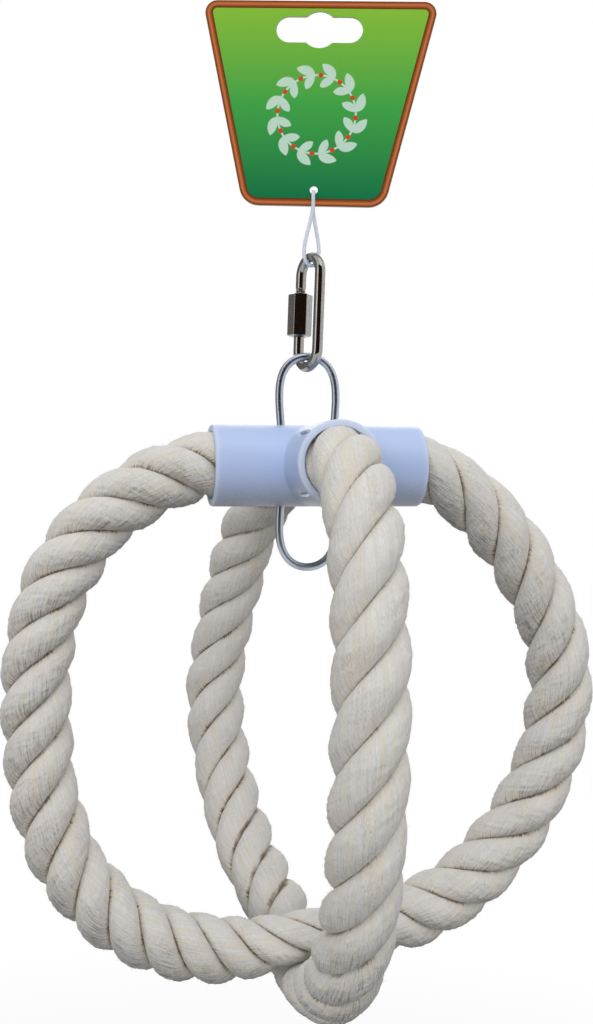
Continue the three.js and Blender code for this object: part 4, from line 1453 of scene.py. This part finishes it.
class RopeRingLink(Operator):
    """Makes the quick link's bent rod, threaded where the nut closes it"""
    bl_idname = "rope_ring.link"
    bl_label = "Quick link"

    def execute(self, context):
        link = context.scene.rope_ring.link
        nut_top = -link.nut_below + link.nut_height / 2
        lower_end = nut_top - link.nut_height + link.nut_grip
        line = link_line(link, lower_end + link.gap, lower_end, step=0.16 * MM)
        angle = np.linspace(0, 2 * np.pi, 28, endpoint=False)
        # The thread is cut on both stubs, and runs out above the nut
        open_leg = line[:, 0] < 0.1 * MM - link.pitch / 2
        height = line[:, 2]
        threaded = open_leg & (height < nut_top + link.thread_top) & (height > lower_end - link.nut_grip)
        wave = thread_wave(link, height[:, None], angle)
        radius = link.rod / 2 - link.thread_depth * wave * threaded[:, None]
        section = radius[..., None] * np.stack([np.cos(angle), np.sin(angle)], axis=-1)
        points, faces = sweep(line, section, (0, 1, 0))
        mesh = new_mesh("link_rod", on_link(link, points), faces, sharp=50)
        add_map(mesh, "Wire", wire_map(mesh, len(angle)))
        steel = metal("Steel rod, nickel plated", link.steel, worn=0.75, roughness=0.09, along=6)
        new_piece(mesh, "link", "link_steel", ["quick_link_body"], steel)
        return {"FINISHED"}


class RopeRingNut(Operator):
    """Makes the quick link's hex sleeve nut, with chamfered ends and a threaded bore"""
    bl_idname = "rope_ring.nut"
    bl_label = "Quick link nut"

    def execute(self, context):
        link = context.scene.rope_ring.link
        flat = link.across_flats / 2
        corner = flat / math.cos(math.pi / 6)
        outline = np.array(rounded([
            (corner * math.cos(a), corner * math.sin(a), link.nut_round)
            for a in np.arange(6) * math.pi / 3], steps=6))
        spokes = len(outline)
        radius = np.linalg.norm(outline, axis=1)
        way = outline / radius[:, None]
        half = link.nut_height / 2
        ring = flat - link.nut_ring
        drop = np.clip(radius - ring, 0, None) * math.tan(link.nut_chamfer)
        bore = link.nut_bore / 2
        # Out over the upper end, in over the lower one, and up the bore's thread
        level = np.full(spokes, half)
        rows = [
            (np.full(spokes, bore + link.nut_mouth), level), (np.full(spokes, ring), level),
            (radius, half - drop),
        ]
        rows += [(r, -h) for r, h in rows[::-1]]
        turn_of = np.arctan2(outline[:, 1], outline[:, 0])
        depth = half - link.nut_mouth_depth
        for height in np.linspace(-depth, depth, 150):
            wave = thread_wave(link, height, turn_of)
            rows.append((bore - link.nut_thread * wave, np.full(spokes, height)))
        grid = np.stack([np.column_stack([way * r[:, None], h]) for r, h in rows])
        faces = [face[::-1] for face in grid_faces(*grid.shape[:2], closed=True)]
        points = grid.reshape(-1, 3) + (-link.pitch / 2, 0, -link.nut_below)
        mesh = new_mesh("link_nut", on_link(link, points), faces, sharp=24)
        add_map(mesh, "Wire", wire_map(mesh, spokes))
        steel = metal("Steel nut, nickel plated", link.steel, worn=0.75, roughness=0.12, along=6)
        new_piece(mesh, "nut", "link_steel", ["quick_link_nut"], steel)
        return {"FINISHED"}


# Plastic loop and header card

class RopeRingLoop(Operator):
    """Makes the plastic loop between the card and the quick link"""
    bl_idname = "rope_ring.loop"
    bl_label = "Plastic loop"

    def execute(self, context):
        settings = context.scene.rope_ring
        loop, card, link = settings.loop, settings.card, settings.link
        low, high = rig.box("tag_loop")
        top, bottom = high.z - loop.line_inset, low.z + loop.line_inset
        rod_middle = low.z + 2 * loop.line_inset + loop.fit + link.rod / 2
        front = np.array([math.sin(card.yaw), -math.cos(card.yaw)])
        across = np.array([math.sin(link.yaw), -math.cos(link.yaw)])
        at_card = card.thickness / 2 + loop.stand_off + loop.line_inset
        at_link = link.rod / 2 + loop.fit + loop.line_inset
        slant = math.sqrt(0.5)
        card_edge = card.above_peg - card.height
        strand = [
            (front, at_card * slant, top - at_card * (1 - slant)),
            (front, at_card, top - at_card),
            (front, at_card, card_edge - loop.below_card),
            (across, at_link, rod_middle + link.rod / 2 + loop.above_link),
            (across, at_link, rod_middle),
            (across, at_link * slant, rod_middle - at_link * slant),
        ]
        route = [(0, 0, top)]
        route += [(*(way * out), height) for way, out, height in strand]
        route.append((0, 0, bottom))
        route += [(*(-way * out), height) for way, out, height in strand[::-1]]
        line, _ = evenly(smooth_line(route, closed=True), number=200, closed=True)
        points, faces = sweep(line, circle(loop.strand / 2, sides=16), (1, 0, 0), closed=True)
        mesh = new_mesh("plastic_loop", points, faces, sharp=80)
        new_piece(mesh, "loop", "loop_nylon", ["tag_loop"], milky_nylon(loop))
        return {"FINISHED"}


class RopeRingCard(Operator):
    """Makes the printed header card with its hanging slot and punched hole"""
    bl_idname = "rope_ring.card"
    bl_label = "Header card"

    def execute(self, context):
        card = context.scene.rope_ring.card
        top, bottom = card.above_peg, card.above_peg - card.height
        corners = [
            (-card.bottom_width / 2, bottom, card.bottom_round),
            (card.bottom_width / 2, bottom, card.bottom_round),
            (card.top_width / 2, top, card.top_round),
            (-card.top_width / 2, top, card.top_round),
        ]
        soft, half = card.edge_round, card.thickness / 2
        holes = [self.slot(card), circle(card.hole / 2, sides=40) + (0, bottom + card.hole_above)]
        # Loops from the front's printed panel, over the cut edge, to the back
        loops = [
            (rounded(inset(corners, card.border)), -half), (rounded(inset(corners, soft)), -half),
            (rounded(corners), soft - half), (rounded(corners), half - soft),
            (rounded(inset(corners, soft)), half),
        ]
        points = [(x, depth, y) for outline, depth in loops for x, y in outline]
        size = len(loops[0][0])
        faces = [face[::-1] for face in grid_faces(len(loops), size)]
        # Materials: 0 the green print, 1 the border and 2 the bare board
        kinds = [1] * size + [2] * (len(faces) - size)
        # The border's map runs from 0 at its outer edge to its width at the inner one
        border_map = [(0, 0)] * (4 * len(faces))
        width = card.border / MM
        for i in range(size):
            border_map[4 * i:4 * i + 4] = [(width if corner < size else 0, i) for corner in faces[i]]
        rings = [list(range(size)), list(range(4 * size, 5 * size))]
        for hole in holes:
            start = len(points)
            number = len(hole)
            points += [(x, depth, y) for depth in (-half, half) for x, y in hole]
            faces += [[corner + start for corner in face] for face in grid_faces(2, number)]
            kinds += [2] * number
            rings[0] = rings[0] + [None] + list(range(start, start + number))
            rings[1] = rings[1] + [None] + list(range(start + number, start + 2 * number))
        for ring, kind, flip in ((rings[0], 0, False), (rings[1], 2, True)):
            filled = self.fill(points, ring, flip)
            faces += filled
            kinds += [kind] * len(filled)
        mesh = new_mesh("printed_card", turned(points, card.yaw), faces, sharp=30)
        mesh.polygons.foreach_set("material_index", kinds)
        flat = np.array(points)[:, [0, 2]] / MM
        index = np.array([loop.vertex_index for loop in mesh.loops])
        add_map(mesh, "Print", flat[index])
        spare = [(0, 0)] * (len(index) - len(border_map))
        add_map(mesh, "Border", border_map + spare)
        new_piece(mesh, "card", "printed_card", ["header_card"],
                  printed_green(card), printed_border(card), bare_board(card))
        return {"FINISHED"}

    def slot(self, card):
        """Outline of the hanging slot, its round middle topping out at the origin."""
        middle, end = -card.slot_round / 2, card.slot_height / 2
        reach = card.slot_width / 2 - end
        shoulder = math.asin(card.slot_height / card.slot_round)
        arcs = [
            (reach, end, -math.pi / 2, math.pi / 2), (0, card.slot_round / 2, shoulder, math.pi - shoulder),
            (-reach, end, math.pi / 2, 1.5 * math.pi),
            (0, card.slot_round / 2, math.pi + shoulder, 2 * math.pi - shoulder),
        ]
        return np.array([
            (x + radius * math.cos(a), middle + radius * math.sin(a))
            for x, radius, start, stop in arcs for a in np.linspace(start, stop, 20)])

    def fill(self, points, ring, flip):
        """Triangles of a flat face with holes. The ring lists its outline, then each hole after a None."""
        outlines = [[]]
        for corner in ring:
            if corner is None:
                outlines.append([])
            else:
                outlines[-1].append(corner)
        flat = [[Vector((points[i][0], points[i][2], 0)) for i in outline] for outline in outlines]
        order = [corner for outline in outlines for corner in outline]
        triangles = []
        for face in tessellate_polygon(flat):
            a, b, c = (Vector((points[order[i]][0], points[order[i]][2])) for i in face)
            facing = (b - a).cross(c - a) > 0
            corners = [order[i] for i in face]
            triangles.append(corners if facing != flip else corners[::-1])
        return triangles


# Panel and registration

class RopeRingPanel(Panel):
    """Lists the steps that build the object"""
    bl_idname = "VIEW3D_PT_rope_ring"
    bl_label = "Bird Rope Ring"
    bl_space_type = "VIEW_3D"
    bl_region_type = "UI"
    bl_category = "Rope Ring"

    def draw(self, context):
        for step in STEPS:
            self.layout.operator(step.bl_idname, text=step.bl_label)


SETTINGS = [
    RopeSettings, ConnectorSettings, StapleSettings, TapeSettings, HangerSettings, LinkSettings, LoopSettings,
    CardSettings, StageSettings, RopeRingSettings,
]
STEPS = [
    RopeRingStage, RopeRingRopes, RopeRingTapes, RopeRingConnector, RopeRingStaples, RopeRingHanger,
    RopeRingLink, RopeRingNut, RopeRingLoop, RopeRingCard,
]


def register():
    for made in (*SETTINGS, *STEPS, RopeRingPanel):
        bpy.utils.register_class(made)
    bpy.types.Scene.rope_ring = PointerProperty(type=RopeRingSettings)


def unregister():
    del bpy.types.Scene.rope_ring
    for made in (RopeRingPanel, *STEPS[::-1], *SETTINGS[::-1]):
        bpy.utils.unregister_class(made)


def main():
    register()
    bpy.ops.rope_ring.stage()
    bpy.ops.rope_ring.ropes()
    bpy.ops.rope_ring.tapes()
    bpy.ops.rope_ring.connector()
    bpy.ops.rope_ring.staples()
    bpy.ops.rope_ring.hanger()
    bpy.ops.rope_ring.link()
    bpy.ops.rope_ring.nut()
    bpy.ops.rope_ring.loop()
    bpy.ops.rope_ring.card()
    sizes = {"cad": [list(corner) for corner in cad_box], "visual": [list(corner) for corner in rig.bounds()]}
    with open("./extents.json", "w") as file:
        json.dump(sizes, file)


if __name__ == "__main__":
    main()
